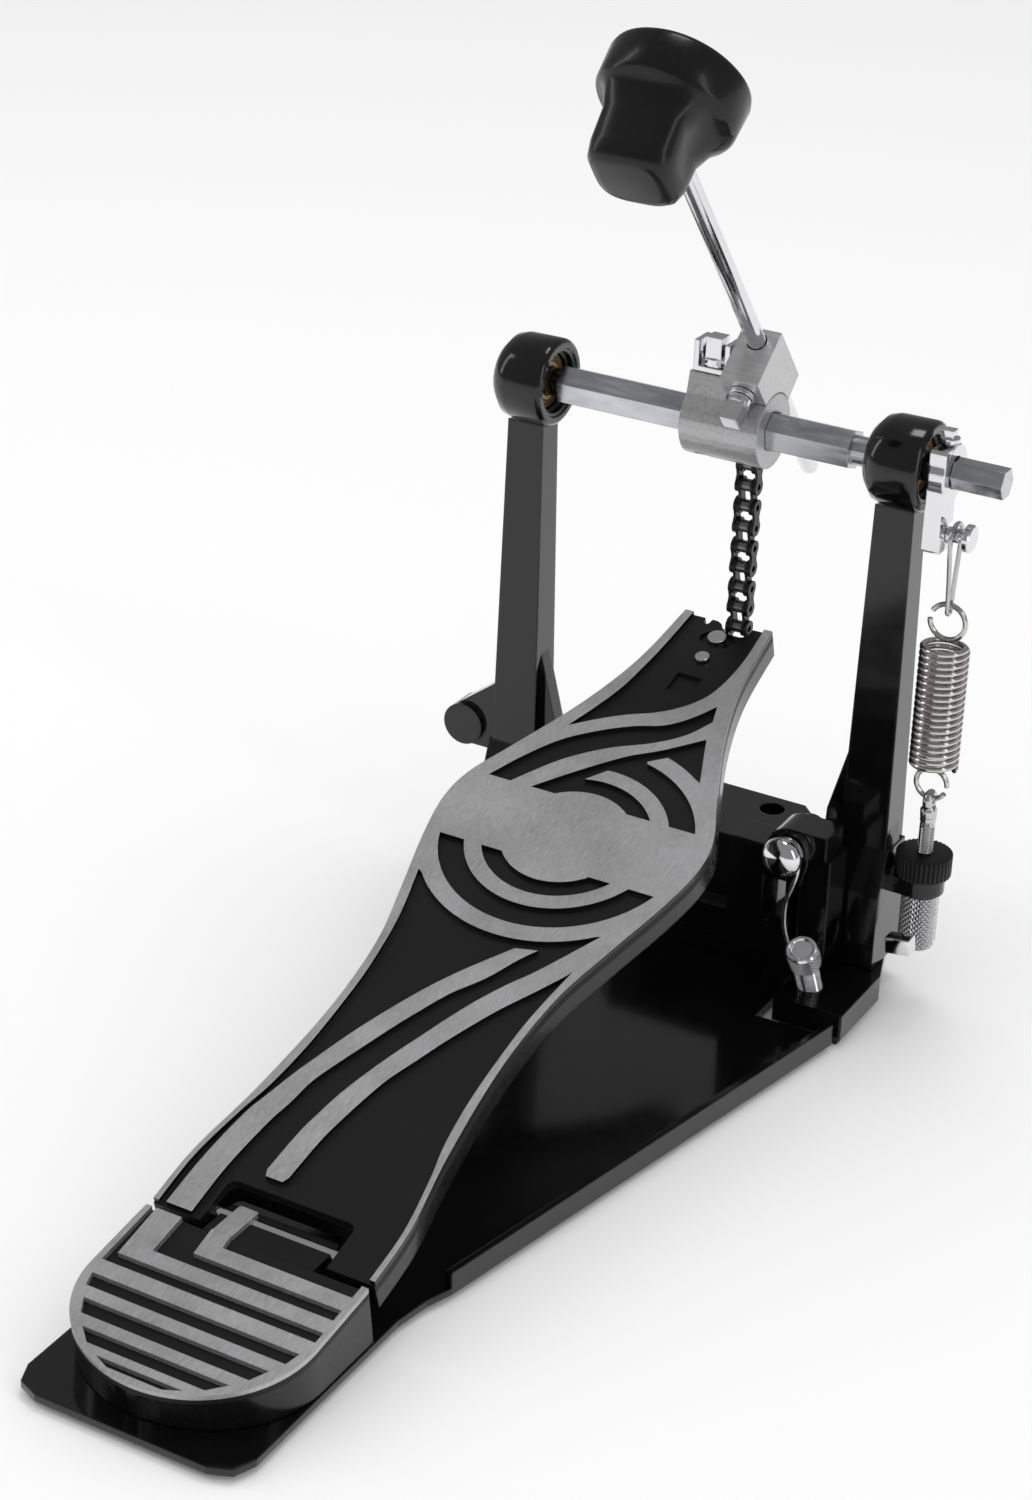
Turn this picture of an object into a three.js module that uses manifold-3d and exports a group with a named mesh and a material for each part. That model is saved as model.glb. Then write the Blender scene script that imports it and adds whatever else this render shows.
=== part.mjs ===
// Bass drum pedal: a steel base plate with a cast cross member, two posts that carry a
// hexagonal axle, a hinged cast footboard, a chain from the footboard's toe to the cam, a beater
// on its rod, a side return spring with its adjuster, a hoop clamp and two spurs.
// Millimetres. +X towards the spring side, +Y towards the drum, +Z up, floor at Z = 0.
import * as THREE from "three";
import { mergeVertices } from "three/addons/utils/BufferGeometryUtils.js";
import Module from "manifold-3d";

const wasm = await Module();
wasm.setup();

// Driving dimensions
const postSpacing = 140; // between the middles of the two bearing housings
const axleY = 274; // the axle ahead of the footboard's hinge end
const axleZ = 198; // the axle above the floor
const boardLength = 309; // footboard, hinge end to toe, along its face
const boardSlope = THREE.MathUtils.degToRad(16.6);
const boardHingeTop = 26.3; // top face of the footboard at its hinge end
const heelHalfWidth = 39.3;
const toeHalfWidth = 17.2;
const discHalfWidth = 48.5; // widest place of the footboard
const waistHalfWidth = 31.7;
const gap = 0.3; // between pieces that touch

// Finishes
const gloss = { color: 0x0b0b0c, roughness: 0.25, metalness: 0.1 };
const satin = { color: 0x161617, roughness: 0.55, metalness: 0.1 };
const rubber = { color: 0x1a1a1a, roughness: 0.9, metalness: 0 };
const chrome = { color: 0xd8dade, roughness: 0.12, metalness: 1 };
const cast = { color: 0xb4b6b8, roughness: 0.5, metalness: 1 };
const brushed = { color: 0xc8cacc, roughness: 0.35, metalness: 1 };

const part = new THREE.Group();

// Helpers: closed shapes, placed, joined and cut
function solid(geometry) {
  const plain = geometry.clone();
  plain.deleteAttribute("normal");
  plain.deleteAttribute("uv");
  const merged = mergeVertices(plain, 1e-4);
  return new wasm.Manifold(new wasm.Mesh({
    numProp: 3,
    vertProperties: new Float32Array(merged.attributes.position.array),
    triVerts: new Uint32Array(merged.index.array),
  }));
}

function surface(manifold) {
  const mesh = manifold.getMesh();
  const geometry = new THREE.BufferGeometry();
  geometry.setAttribute("position", new THREE.BufferAttribute(mesh.vertProperties, 3));
  geometry.setIndex(new THREE.BufferAttribute(mesh.triVerts, 1));
  return geometry;
}

function join(...geometries) {
  return surface(geometries.map(solid).reduce((whole, next) => whole.add(next)));
}

function cut(body, ...tools) {
  return surface(tools.map(solid).reduce((whole, tool) => whole.subtract(tool), solid(body)));
}

function common(body, tool) {
  return surface(solid(body).intersect(solid(tool)));
}

// A block between two corners
function block(x0, x1, y0, y1, z0, z1) {
  const geometry = new THREE.BoxGeometry(x1 - x0, y1 - y0, z1 - z0);
  return geometry.translate((x0 + x1) / 2, (y0 + y1) / 2, (z0 + z1) / 2);
}

// Round or many-sided bars along an axis, from one coordinate to another
function barX(radius, x0, x1, y, z, sides = 24, turn = 0) {
  const geometry = new THREE.CylinderGeometry(radius, radius, x1 - x0, sides);
  return geometry.rotateY(turn).rotateZ(-Math.PI / 2).translate((x0 + x1) / 2, y, z);
}

function barY(radius, y0, y1, x, z, sides = 24) {
  const geometry = new THREE.CylinderGeometry(radius, radius, y1 - y0, sides);
  return geometry.translate(0, (y0 + y1) / 2, 0).translate(x, 0, z);
}

function barZ(radius, z0, z1, x, y, sides = 24) {
  const geometry = new THREE.CylinderGeometry(radius, radius, z1 - z0, sides);
  return geometry.rotateX(Math.PI / 2).translate(x, y, (z0 + z1) / 2);
}

// A turned shape about X from [x, radius] pairs
function turnedX(profile, y, z, sides = 28) {
  const points = profile.map(([x, r]) => new THREE.Vector2(Math.max(r, 0), x));
  return new THREE.LatheGeometry(points, sides).rotateZ(-Math.PI / 2).translate(0, y, z);
}

function outline(points) {
  return new THREE.Shape(points.map(([a, b]) => new THREE.Vector2(a, b)));
}

// An outline of [x, y] points pulled up in Z
function plate(shape, z0, z1) {
  const settings = { depth: z1 - z0, bevelEnabled: false, curveSegments: 8 };
  return new THREE.ExtrudeGeometry(shape, settings).translate(0, 0, z0);
}

// An outline of [y, z] points pulled along X
function sideProfile(shape, x0, x1) {
  const settings = { depth: x1 - x0, bevelEnabled: false, curveSegments: 8 };
  const geometry = new THREE.ExtrudeGeometry(shape, settings);
  return geometry.rotateY(Math.PI / 2).rotateX(Math.PI / 2).translate(x0, 0, 0);
}

// An outline of [x, z] points pulled along Y
function frontProfile(shape, y0, y1) {
  const settings = { depth: y1 - y0, bevelEnabled: false, curveSegments: 8 };
  return new THREE.ExtrudeGeometry(shape, settings).rotateX(Math.PI / 2).translate(0, y1, 0);
}

// A bar of round section along a smooth open path
function rodAlong(points, radius, steps, sides = 8) {
  const path = new THREE.CatmullRomCurve3(points.map((p) => new THREE.Vector3(...p)));
  const section = new THREE.Shape();
  section.absarc(0, 0, radius, 0, 2 * Math.PI);
  const settings = { steps, extrudePath: path, curveSegments: sides / 2 };
  return new THREE.ExtrudeGeometry(section, settings);
}

function mirrored(geometry) {
  const copy = geometry.clone().scale(-1, 1, 1);
  const index = copy.index ? copy.index.array : null;
  if (index) {
    for (let i = 0; i < index.length; i += 3) {
      [index[i], index[i + 1]] = [index[i + 1], index[i]];
    }
    return copy;
  }
  const position = copy.attributes.position;
  for (let i = 0; i < position.count; i += 3) {
    const [a, b] = [i, i + 1].map((k) => new THREE.Vector3().fromBufferAttribute(position, k));
    position.setXYZ(i, b.x, b.y, b.z);
    position.setXYZ(i + 1, a.x, a.y, a.z);
  }
  return copy;
}

function add(name, geometry, finish, parent = part) {
  const mesh = new THREE.Mesh(geometry, new THREE.MeshStandardMaterial(finish));
  mesh.name = name;
  parent.add(mesh);
  return mesh;
}

// Base plate: folded steel sheet, wide under the axle, with a low lip up each side
const sheet = 2.4;
const heelPadHeight = 2;
const plateBottom = heelPadHeight + gap;
const plateTop = plateBottom + sheet;
const plateHeelY = -71;
const plateHeelHalf = heelHalfWidth + 0.4;
const plateCorner = 10;
const flareStartY = 13;
const flareEndY = 35;
const plateFlareHalf = 45;
const plateFrontHalf = postSpacing / 2 + 12;
const plateFrontY = axleY - 48.5;
const tongueHalf = postSpacing / 2 - 17;
const tongueFrontY = axleY - 2;
const lipHeight = 8;

function basePlate() {
  const half = [
    [plateHeelHalf - plateCorner, plateHeelY],
    [plateHeelHalf - plateCorner * 0.29, plateHeelY + plateCorner * 0.29],
    [plateHeelHalf, plateHeelY + plateCorner],
    [plateHeelHalf, flareStartY],
    [plateHeelHalf + (plateFlareHalf - plateHeelHalf) * 0.4, (flareStartY + flareEndY) / 2 + 2],
    [plateFlareHalf, flareEndY],
    [plateFrontHalf, plateFrontY],
    [tongueHalf, plateFrontY],
    [tongueHalf, tongueFrontY],
  ];
  const whole = [...half, ...half.map(([x, y]) => [-x, y]).reverse()];
  const lip = plate(outline([
    [plateFlareHalf - sheet, flareEndY],
    [plateFlareHalf, flareEndY],
    [plateFrontHalf, plateFrontY],
    [plateFrontHalf - sheet, plateFrontY],
  ]), plateBottom, plateBottom + lipHeight);
  return join(plate(outline(whole), plateBottom, plateTop), lip, mirrored(lip));
}
add("base_plate", basePlate(), gloss);
add("heel_pad", block(-30, 30, plateHeelY + 9, flareStartY, 0, heelPadHeight), rubber);

// Cast cross member: two feet, the bridge between them, the seat under the drum hoop, the upright
// that carries the clamp's pivot and the stop for the clamp bolt
const footInner = postSpacing / 2 - 12;
const footOuter = postSpacing / 2 + 14;
const footFrontY = axleY - 46;
const footPadHeight = 3;
const castBottom = plateTop + gap;
const footTop = 12;
const bridgeRearY = axleY - 18;
const bridgeFrontY = axleY + 28;
const seatTop = 13;
const seatHalf = 38;
const seatPadHeight = 1.6;
const pivotX = postSpacing / 2 - 18;
const pivotZ = 60;
const pivotShank = 3;
const uprightRearY = axleY - 15;
const uprightFrontY = axleY - 9.5;
const leverFrontY = uprightRearY - gap;
const leverDepth = 13.5;
const leverRearY = leverFrontY - leverDepth;
const boltTilt = THREE.MathUtils.degToRad(8);
const boltY = leverRearY + 2 + 4.6;
const boltZ = 28;
const tailInner = pivotX + 5;
const tailOuter = pivotX + 16;
const boltTipOut = 1.8;
const stopX = tailInner - boltTipOut - 1.2;
const spurX = postSpacing / 2 - 4;
const spurRadius = 4.4;
const spurTilt = THREE.MathUtils.degToRad(27);
const spurFootY = axleY - 28;
const spurFootZ = 2.6;

function spurTool(radius, from, to) {
  const geometry = new THREE.CylinderGeometry(radius, radius, to - from, 20);
  geometry.rotateX(Math.PI / 2).translate(0, 0, (from + to) / 2).rotateX(spurTilt);
  return geometry.translate(spurX, spurFootY, spurFootZ);
}

function baseCasting() {
  const half = [
    [footInner, bridgeRearY],
    [footInner, footFrontY],
    [footOuter, footFrontY],
    [footOuter, axleY - 14],
    [footOuter - 9, axleY + 13],
    [seatHalf + 6, bridgeFrontY - 12],
    [seatHalf, bridgeFrontY],
  ];
  const whole = [...half, ...half.map(([x, y]) => [-x, y]).reverse()];
  const bridge = plate(outline(whole), castBottom, seatTop);
  const foot = block(footInner, footOuter, footFrontY, axleY - 14, footPadHeight + gap, footTop);
  const upright = join(
    block(pivotX - 6, postSpacing / 2 - 9, uprightRearY, uprightFrontY, castBottom, pivotZ),
    barY(6, uprightRearY, uprightFrontY, pivotX, pivotZ),
  );
  const stop = block(pivotX - 6, stopX, leverRearY - 0.5, uprightRearY + 2, castBottom, boltZ + 6);
  const spurBore = spurTool(spurRadius + gap, -12, 40);
  const body = join(bridge, foot, mirrored(foot), upright, stop);
  const shank = barY(pivotShank + gap, uprightRearY - 1, uprightFrontY + 1, pivotX, pivotZ);
  return cut(body, spurBore, mirrored(spurBore), shank);
}
add("base_casting", baseCasting(), gloss);

const footPad = plate(outline([
  [footInner + 2, footFrontY + 2],
  [footOuter - 2, footFrontY + 2],
  [footOuter - 2, axleY - 16],
  [spurX + 8, axleY - 16],
  [spurX + 8, spurFootY - 9],
  [footInner + 2, spurFootY - 9],
]), 0, footPadHeight);
add("right_foot_pad", footPad, rubber);
add("left_foot_pad", mirrored(footPad), rubber);
add("hoop_seat_pad", block(-seatHalf + 4, seatHalf - 4, axleY - 2, bridgeFrontY - 2,
  seatTop + gap, seatTop + gap + seatPadHeight), rubber);

// Posts: tapered cast columns with an inner gusset; the right one carries the spring's lug
const housingRadius = 15.5;
const housingLength = 20.5;
const postBottomZ = seatTop + gap;
const postShoulderZ = 50;
const postTopHalfX = 6.8;
const postTopHalfY = 5;
const postFootHalfX = 9;
const postFootHalfY = 7;
const springX = postSpacing / 2 + 21;
const springY = axleY - 1.5;
const rodRadius = 2.7;
const lugBottomZ = 44.5;
const lugThickness = 6;
const lugRadius = 8;

function column() {
  const height = axleZ - postShoulderZ;
  const bar = new THREE.CylinderGeometry(Math.SQRT1_2, Math.SQRT1_2, height, 4, 6);
  bar.rotateY(Math.PI / 4).rotateX(Math.PI / 2);
  const position = bar.attributes.position;
  for (let i = 0; i < position.count; i += 1) {
    const share = position.getZ(i) / height + 0.5;
    const halfX = THREE.MathUtils.lerp(postFootHalfX, postTopHalfX, share);
    const halfY = THREE.MathUtils.lerp(postFootHalfY, postTopHalfY, share);
    position.setXY(i, position.getX(i) * 2 * halfX, position.getY(i) * 2 * halfY);
  }
  return bar.translate(postSpacing / 2, axleY, postShoulderZ + height / 2);
}

function postBody() {
  const x = postSpacing / 2;
  const leg = sideProfile(outline([
    [axleY - 13, postBottomZ],
    [axleY + 12, postBottomZ],
    [axleY + 9, postShoulderZ - 6],
    [axleY + postFootHalfY, postShoulderZ + 8],
    [axleY - postFootHalfY, postShoulderZ + 8],
    [axleY - 13, postShoulderZ - 8],
  ]), x - 8, x + 10);
  const gusset = frontProfile(outline([
    [x - 5, 108],
    [x - 16, 66],
    [x - 18, postBottomZ],
    [x - 5, postBottomZ],
  ]), axleY - 3, axleY + 3);
  const saddle = barX(housingRadius + gap, x - housingLength, x + housingLength, axleY, axleZ);
  const spurRoom = spurTool(spurRadius + 1.4, -10, 60);
  return cut(join(column(), leg, gusset), saddle, spurRoom);
}

function springLug() {
  const lugTop = lugBottomZ + lugThickness;
  const arm = join(
    block(postSpacing / 2, springX, springY - lugRadius, springY + lugRadius, lugBottomZ, lugTop),
    barZ(lugRadius, lugBottomZ, lugTop, springX, springY),
  );
  const web = frontProfile(outline([
    [postSpacing / 2 + 5, lugTop - 1],
    [postSpacing / 2 + 10.5, lugTop - 1],
    [postSpacing / 2 + 7, lugTop + 32],
    [postSpacing / 2 + 5, lugTop + 32],
  ]), axleY - 5, axleY + 3);
  const hole = barZ(rodRadius + gap, lugBottomZ - 1, lugTop + 1, springX, springY, 16);
  return cut(join(arm, web), hole);
}

function sideBoss() {
  const x = postSpacing / 2;
  return join(
    barY(8, axleY - 7, axleY + 5, x + 21.5, 60.5),
    frontProfile(outline([
      [x + 5, 52.5],
      [x + 21.5, 52.5],
      [x + 27, 66],
      [x + 10, 79],
      [x + 5, 79],
    ]), axleY - 5, axleY + 3),
  );
}
add("right_post", join(postBody(), springLug()), gloss);
add("left_post", mirrored(join(postBody(), sideBoss())), gloss);

// Bearing housings and bearings. The left housing is closed outside; the axle goes through the right
const neckRadius = 5;
const bearingRadius = 9.6;
const bearingWidth = 7;
const housingBore = bearingRadius + gap;

function housing(throughHole) {
  const half = housingLength / 2;
  const shell = turnedX([
    [-half, 0],
    [-half, housingRadius - 4.5],
    [-half + 3, housingRadius - 1],
    [-half + 6.5, housingRadius],
    [half - 1.5, housingRadius],
    [half, housingRadius - 1.5],
    [half, 0],
  ], 0, 0);
  const bore = barX(housingBore, half - bearingWidth - 5, half + 1, 0, 0);
  const through = throughHole
    ? barX(neckRadius + 0.8, -half - 1, half, 0, 0)
    : barX(neckRadius + 0.8, -half + 3, half, 0, 0);
  return cut(shell, bore, through);
}

const bearing = cut(
  barX(bearingRadius, -bearingWidth / 2, bearingWidth / 2, 0, 0),
  barX(neckRadius + gap, -bearingWidth, bearingWidth, 0, 0),
);
const bearingOffset = housingLength / 2 - bearingWidth / 2 - 4;
[["left", -1], ["right", 1]].forEach(([side, sign]) => {
  const shell = add(`${side}_bearing_housing`, housing(sign > 0), gloss);
  shell.position.set((sign * postSpacing) / 2, axleY, axleZ);
  const race = add(`${side}_bearing`, bearing, cast);
  race.position.set((sign * postSpacing) / 2 + bearingOffset, axleY, axleZ);
});

// Axle: a hexagonal bar with turned necks; a smaller hexagonal end outside the right housing
const hexAcrossFlats = 12.4;
const endAcrossFlats = 9.4;
const hexStart = -postSpacing / 2 + housingLength / 2 + 2;
const hexEnd = postSpacing / 2 - housingLength / 2 - 7.5;
const axleEnd = postSpacing / 2 + 36;
const rockerX = postSpacing / 2 + 12;
const rockerWidth = 6;
const leanBack = THREE.MathUtils.degToRad(40); // the beater rod behind upright at rest
const corner = 2 / Math.sqrt(3);
add("hex_axle", join(
  barX((hexAcrossFlats / 2) * corner, hexStart, hexEnd, axleY, axleZ, 6, leanBack + Math.PI / 2),
  barX(neckRadius, -postSpacing / 2 - 5, rockerX - 0.6, axleY, axleZ, 20),
  barX((endAcrossFlats / 2) * corner, rockerX - 1.2, axleEnd, axleY, axleZ, 6, Math.PI / 6),
), chrome);

// Cam hub: cast, clamped on the axle, with the round cam behind that the chain lies on
const hubLeft = -7;
const hubRight = 22;
const hubRadius = 13;
const blockWidth = 14;
const blockLeft = hubRight - blockWidth;
const chainX = 4.2;
const earSheet = 1.5;
const chainPitch = 7.7;
const chainPlateHeight = 6;
const chainWidth = 8.2;
const chainRadius = 22; // from the axle to the chain's pins
const wrappedLinks = 3;
const linkAngle = 2 * Math.asin(chainPitch / 2 / chainRadius);
const camRadius = chainRadius * Math.cos(linkAngle / 2) - chainPlateHeight / 2 - gap;
const hexTool = barX((hexAcrossFlats / 2 + gap) * corner, -60, 60, axleY, axleZ, 6,
  leanBack + Math.PI / 2);
const anchorAngle = wrappedLinks * linkAngle;
const earInside = chainWidth / 2 + gap;
const earPinHalf = earInside + earSheet;

function onCam(radius, angle) {
  return [axleY + radius * Math.cos(angle), axleZ + radius * Math.sin(angle)];
}

function camHub() {
  const face = sideProfile(outline([
    [axleY - 11.4, axleZ - 4],
    [axleY + 6, axleZ - 4],
    [axleY + 9, axleZ + 12],
    [axleY + 3, axleZ + 17.5],
    [axleY - 6.5, axleZ + 17.5],
  ]), hubLeft, blockLeft - gap);
  const camShape = new THREE.Shape();
  camShape.moveTo(axleY, axleZ - 6);
  camShape.lineTo(...onCam(camRadius, -Math.PI / 3));
  camShape.absarc(axleY, axleZ, camRadius, -Math.PI / 3, anchorAngle + 0.1, false);
  const cam = sideProfile(camShape, chainX - 3, chainX + 3);
  const ears = [-1, 1].map((side) => sideProfile(outline([
    onCam(8, anchorAngle - 0.35),
    onCam(chainRadius + 2.6, anchorAngle - 0.12),
    onCam(chainRadius + 2.6, anchorAngle + 0.12),
    onCam(8, anchorAngle + 0.35),
  ]), chainX + (side > 0 ? earInside : -earInside - earSheet),
  chainX + (side > 0 ? earInside + earSheet : -earInside)));
  return cut(
    join(barX(hubRadius, hubLeft, hubRight, axleY, axleZ, 32), face, cam, ...ears),
    hexTool,
    ...setScrewPlaces.map((x) => setScrew(x, gap)),
    clipScrew(gap),
    barX(1.5 + gap, chainX - 9, chainX + 9, ...onCam(chainRadius, anchorAngle), 12),
  );
}

// Set screws low on the hub's face, and the key screw on top that holds the clip
const setScrewPlaces = [-1, 14];
function setScrew(x, room) {
  const [inner, outer] = [8 - room, room ? hubRadius + 2 : hubRadius - 0.8];
  const bar = new THREE.CylinderGeometry(2.4 + room, 2.4 + room, outer - inner, 14);
  return bar.translate(0, (inner + outer) / 2, 0).rotateX(THREE.MathUtils.degToRad(242))
    .translate(x, axleY, axleZ);
}

const clipX = (hubLeft + blockLeft) / 2;
const hubTopZ = axleZ + 17.5;
function clipScrew(room) {
  return barZ(2.2 + room, hubTopZ - 8 - room, hubTopZ + 3.5, clipX, axleY - 2, 16);
}

add("cam_hub", camHub(), cast);
setScrewPlaces.forEach((x, i) => add(i ? "right_set_screw" : "left_set_screw", setScrew(x, 0), satin));

const clipSheet = 1.8;
const clipHalf = 6.6;
const clipHeight = 11;
add("cam_clip", cut(
  block(clipX - clipHalf, clipX + clipHalf, axleY - 6, axleY + 3, hubTopZ + gap, hubTopZ + clipHeight),
  block(clipX - clipHalf + clipSheet, clipX + clipHalf - clipSheet, axleY - 7, axleY + 4,
    hubTopZ + gap + clipSheet, hubTopZ + clipHeight + 1),
  clipScrew(gap),
), chrome);
add("clip_key_screw", join(
  clipScrew(0),
  barZ(4, hubTopZ + gap + clipSheet + gap, hubTopZ + 5, clipX, axleY - 2, 16),
  block(clipX - 2.9, clipX + 2.9, axleY - 4.9, axleY + 0.9, hubTopZ + 4, hubTopZ + 12.5),
), chrome);

// Beater block: a brushed prism on the hub. In its own group up runs along the beater rod and
// out is square to it, towards the drum
const rodOut = 18; // the rod's axis from the axle
const beaterRodRadius = 3.25;
const blockInner = 1.8;
const blockOuter = 23;
const blockTop = 25.3;
const keyUp = 18.2;

const beaterGroup = new THREE.Group();
beaterGroup.position.set(0, axleY, axleZ);
beaterGroup.rotation.x = leanBack;
part.add(beaterGroup);
const beaterX = hubRight - blockWidth / 2;

function beaterBlock() {
  const prism = sideProfile(outline([
    [blockInner, 8],
    [blockInner, blockTop],
    [blockOuter, blockTop],
    [blockOuter, 0],
    [hubRadius + 0.4, -0.7],
    [hubRadius - 1, -0.7],
  ]), blockLeft, hubRight);
  return cut(
    prism,
    barX(hubRadius + gap, blockLeft - 1, hubRight + 1, 0, 0, 32),
    barZ(beaterRodRadius + gap, -20, blockTop + 5, beaterX, rodOut, 20),
    barY(2.6 + gap, -10, rodOut, beaterX, keyUp, 16),
    block(blockLeft - 1, chainX + earPinHalf + gap, 3.2, 40, -20, 40).rotateX(-leanBack),
  );
}
add("beater_block", beaterBlock(), brushed, beaterGroup);
add("beater_key_screw", join(
  barY(2.6, blockInner - 3, rodOut - beaterRodRadius - gap, beaterX, keyUp, 16),
  barY(3.8, blockInner - 4.6, blockInner - 2.2, beaterX, keyUp, 16),
  block(beaterX - 3, beaterX + 3, blockInner - 12, blockInner - 4, keyUp - 3, keyUp + 3),
), chrome, beaterGroup);
add("beater_key_washer", cut(
  barY(4.4, blockInner - 1.9, blockInner - gap, beaterX, keyUp, 20),
  barY(2.6 + gap, -10, 10, beaterX, keyUp, 16),
), chrome, beaterGroup);

// Beater rod and head
const rodTop = 150;
const rodBottom = -55;
add("beater_rod", join(
  barZ(beaterRodRadius, rodBottom + 2, rodTop, beaterX, rodOut, 20),
  new THREE.SphereGeometry(beaterRodRadius * 1.01, 20, 8).rotateX(Math.PI / 2)
    .translate(beaterX, rodOut, rodBottom + 2),
), chrome, beaterGroup);

const headUp = 146.7;
const headRadius = 23.2;
const headFront = 16;
const capDepth = 15;
const headRear = -25;
function beaterHead() {
  const cap = barY(headRadius, rodOut + headFront - capDepth, rodOut + headFront, 0, 0, 32);
  const rear = block(-14.5, 14.5, rodOut + headRear, rodOut + headFront - 2, -13.5, 13.5);
  const shaped = common(rear, new THREE.SphereGeometry(27, 24, 16).translate(0, rodOut + 1, 0));
  const head = join(cap, shaped).translate(beaterX, 0, headUp);
  return cut(head, barZ(beaterRodRadius + gap, headUp - 40, rodTop + gap, beaterX, rodOut, 20));
}
add("beater_head", beaterHead(), satin, beaterGroup);

// Rocker on the axle's right end, its stud, and the hook down to the spring
const studY = springY;
const studZ = axleZ - 21;
const studRadius = 2.6;
const rockerHub = 9.8;
const rockerFrontY = axleY - 9;
const rockerBarDepth = 11;
const rockerBottomZ = studZ - 5.5;
function rockerArm() {
  const endHex = barX((endAcrossFlats / 2 + gap) * corner, rockerX - 2, rockerX + 20, axleY, axleZ,
    6, Math.PI / 6);
  const body = join(
    barX(rockerHub, rockerX, rockerX + rockerWidth, axleY, axleZ, 28),
    block(rockerX, rockerX + rockerWidth, rockerFrontY, rockerFrontY + rockerBarDepth,
      rockerBottomZ, axleZ + 9.5),
  );
  return cut(body, endHex, barX(studRadius + gap, rockerX - 1, rockerX + 9, studY, studZ, 16),
    rockerScrew(gap));
}

function rockerScrew(room) {
  return barZ(1.9 + room, axleZ + 5.8 - room, axleZ + 12, rockerX + rockerWidth / 2, axleY, 14);
}
add("rocker_arm", rockerArm(), chrome);
add("rocker_key_screw", join(
  rockerScrew(0),
  barZ(3.4, axleZ + 10.2, axleZ + 11.7, rockerX + rockerWidth / 2, axleY, 14),
  block(rockerX + 1.2, rockerX + rockerWidth - 1.2, axleY - 1.8, axleY + 1.8, axleZ + 11, axleZ + 14.5),
), chrome);
add("rocker_stud", join(
  barX(studRadius, rockerX + 0.5, rockerX + 14, studY, studZ, 16),
  barX(4.8, rockerX + 12.4, rockerX + 15, studY, studZ, 20),
), chrome);

const ringWire = 0.95;
const ringRadius = 6.3;
const topRingZ = studZ - 31.1;
const hookSheet = 1.6;
const hookBottomZ = topRingZ + ringRadius - 2.2 * ringWire;
function hook() {
  const [top, bottom] = [studRadius + 1.6, 1.3];
  const topZ = studZ - 0.8;
  const outer = new THREE.Shape();
  outer.absarc(studY, topZ, top + 1.8, 0, Math.PI, false);
  outer.absarc(studY, hookBottomZ + bottom, bottom + 1, Math.PI, 2 * Math.PI, false);
  const inner = new THREE.Path();
  inner.absarc(studY, topZ, top, 0, Math.PI, false);
  inner.absarc(studY, hookBottomZ + bottom, bottom, Math.PI, 2 * Math.PI, false);
  outer.holes.push(inner);
  return sideProfile(outer, springX - hookSheet / 2, springX + hookSheet / 2);
}
add("spring_hook", hook(), chrome);

// Return spring: its close coils as one sleeve, with an open ring at each end
const coilRadius = 8.6;
const coilTopZ = topRingZ - ringRadius - 0.4;
const coilBottomZ = 91.5;
const lowRingRadius = 5.6;
const lowRingZ = coilBottomZ - lowRingRadius - 0.4;
function springRing(radius, z) {
  return new THREE.TorusGeometry(radius, ringWire, 8, 24).rotateX(Math.PI / 2)
    .translate(springX, springY, z);
}
add("return_spring", join(
  barZ(coilRadius, coilBottomZ, coilTopZ, springX, springY, 28),
  springRing(ringRadius, topRingZ),
  springRing(lowRingRadius, lowRingZ),
), chrome);

// Tension rod through the lug, with a nut above and a long nut below
const lugTopZ = lugBottomZ + lugThickness;
const rodEyeZ = lowRingZ - lowRingRadius - 0.2;
const upperNutRadius = 9.85;
const upperNutHeight = 8.3;
const lowerNutRadius = 6.6;
const lowerNutLength = 22;
const lowerNutTopZ = lugBottomZ - gap;
add("tension_rod", cut(
  join(
    barZ(rodRadius, lowerNutTopZ - lowerNutLength + 4, rodEyeZ - 1, springX, springY, 16),
    block(springX - 1.7, springX + 1.7, springY - 3, springY + 3, rodEyeZ - 5, rodEyeZ + 3.6),
  ),
  barX(ringWire + 0.9, springX - 5, springX + 5, springY, rodEyeZ, 12),
), chrome);
add("upper_spring_nut", cut(
  barZ(upperNutRadius, lugTopZ + gap, lugTopZ + gap + upperNutHeight, springX, springY, 36),
  barZ(rodRadius + gap, lugTopZ - 1, lugTopZ + upperNutHeight + 2, springX, springY, 16),
), satin);
add("lower_spring_nut", cut(
  barZ(lowerNutRadius, lowerNutTopZ - lowerNutLength, lowerNutTopZ, springX, springY, 28),
  barZ(rodRadius + gap, lowerNutTopZ - lowerNutLength + 3.5, lowerNutTopZ + 1, springX, springY, 16),
), chrome);

// Chain: plates and rollers, from the cam's ears down to the toe
const runLinks = 12;
const plateThick = 1;
const outerPlateX = chainWidth / 2 - plateThick;
const innerPlateX = outerPlateX - gap - plateThick;
const pinRadius = 1.2;
function linkPlate(x0) {
  const shape = new THREE.Shape();
  const r = chainPlateHeight / 2;
  shape.absarc(0, 0, r, 0, Math.PI, false);
  shape.absarc(0, -chainPitch, r, Math.PI, 2 * Math.PI, false);
  const settings = { depth: plateThick, bevelEnabled: false, curveSegments: 4 };
  return new THREE.ExtrudeGeometry(shape, settings).rotateY(Math.PI / 2).rotateX(Math.PI / 2)
    .translate(x0, 0, 0);
}

function chainLink(outerLink, endPin) {
  const x = outerLink ? outerPlateX : innerPlateX;
  const plates = [linkPlate(x), linkPlate(-x - plateThick), ...endPin];
  const across = [0, -chainPitch].map((z) => barX(
    outerLink ? pinRadius : pinRadius + 1, -x - 0.5, x + 0.5, 0, z, outerLink ? 8 : 10,
  ));
  const body = join(...plates, ...across);
  return outerLink ? body : cut(body, ...[0, -chainPitch].map((z) => (
    barX(pinRadius + gap, -chainWidth, chainWidth, 0, z, 8)
  )));
}

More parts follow.
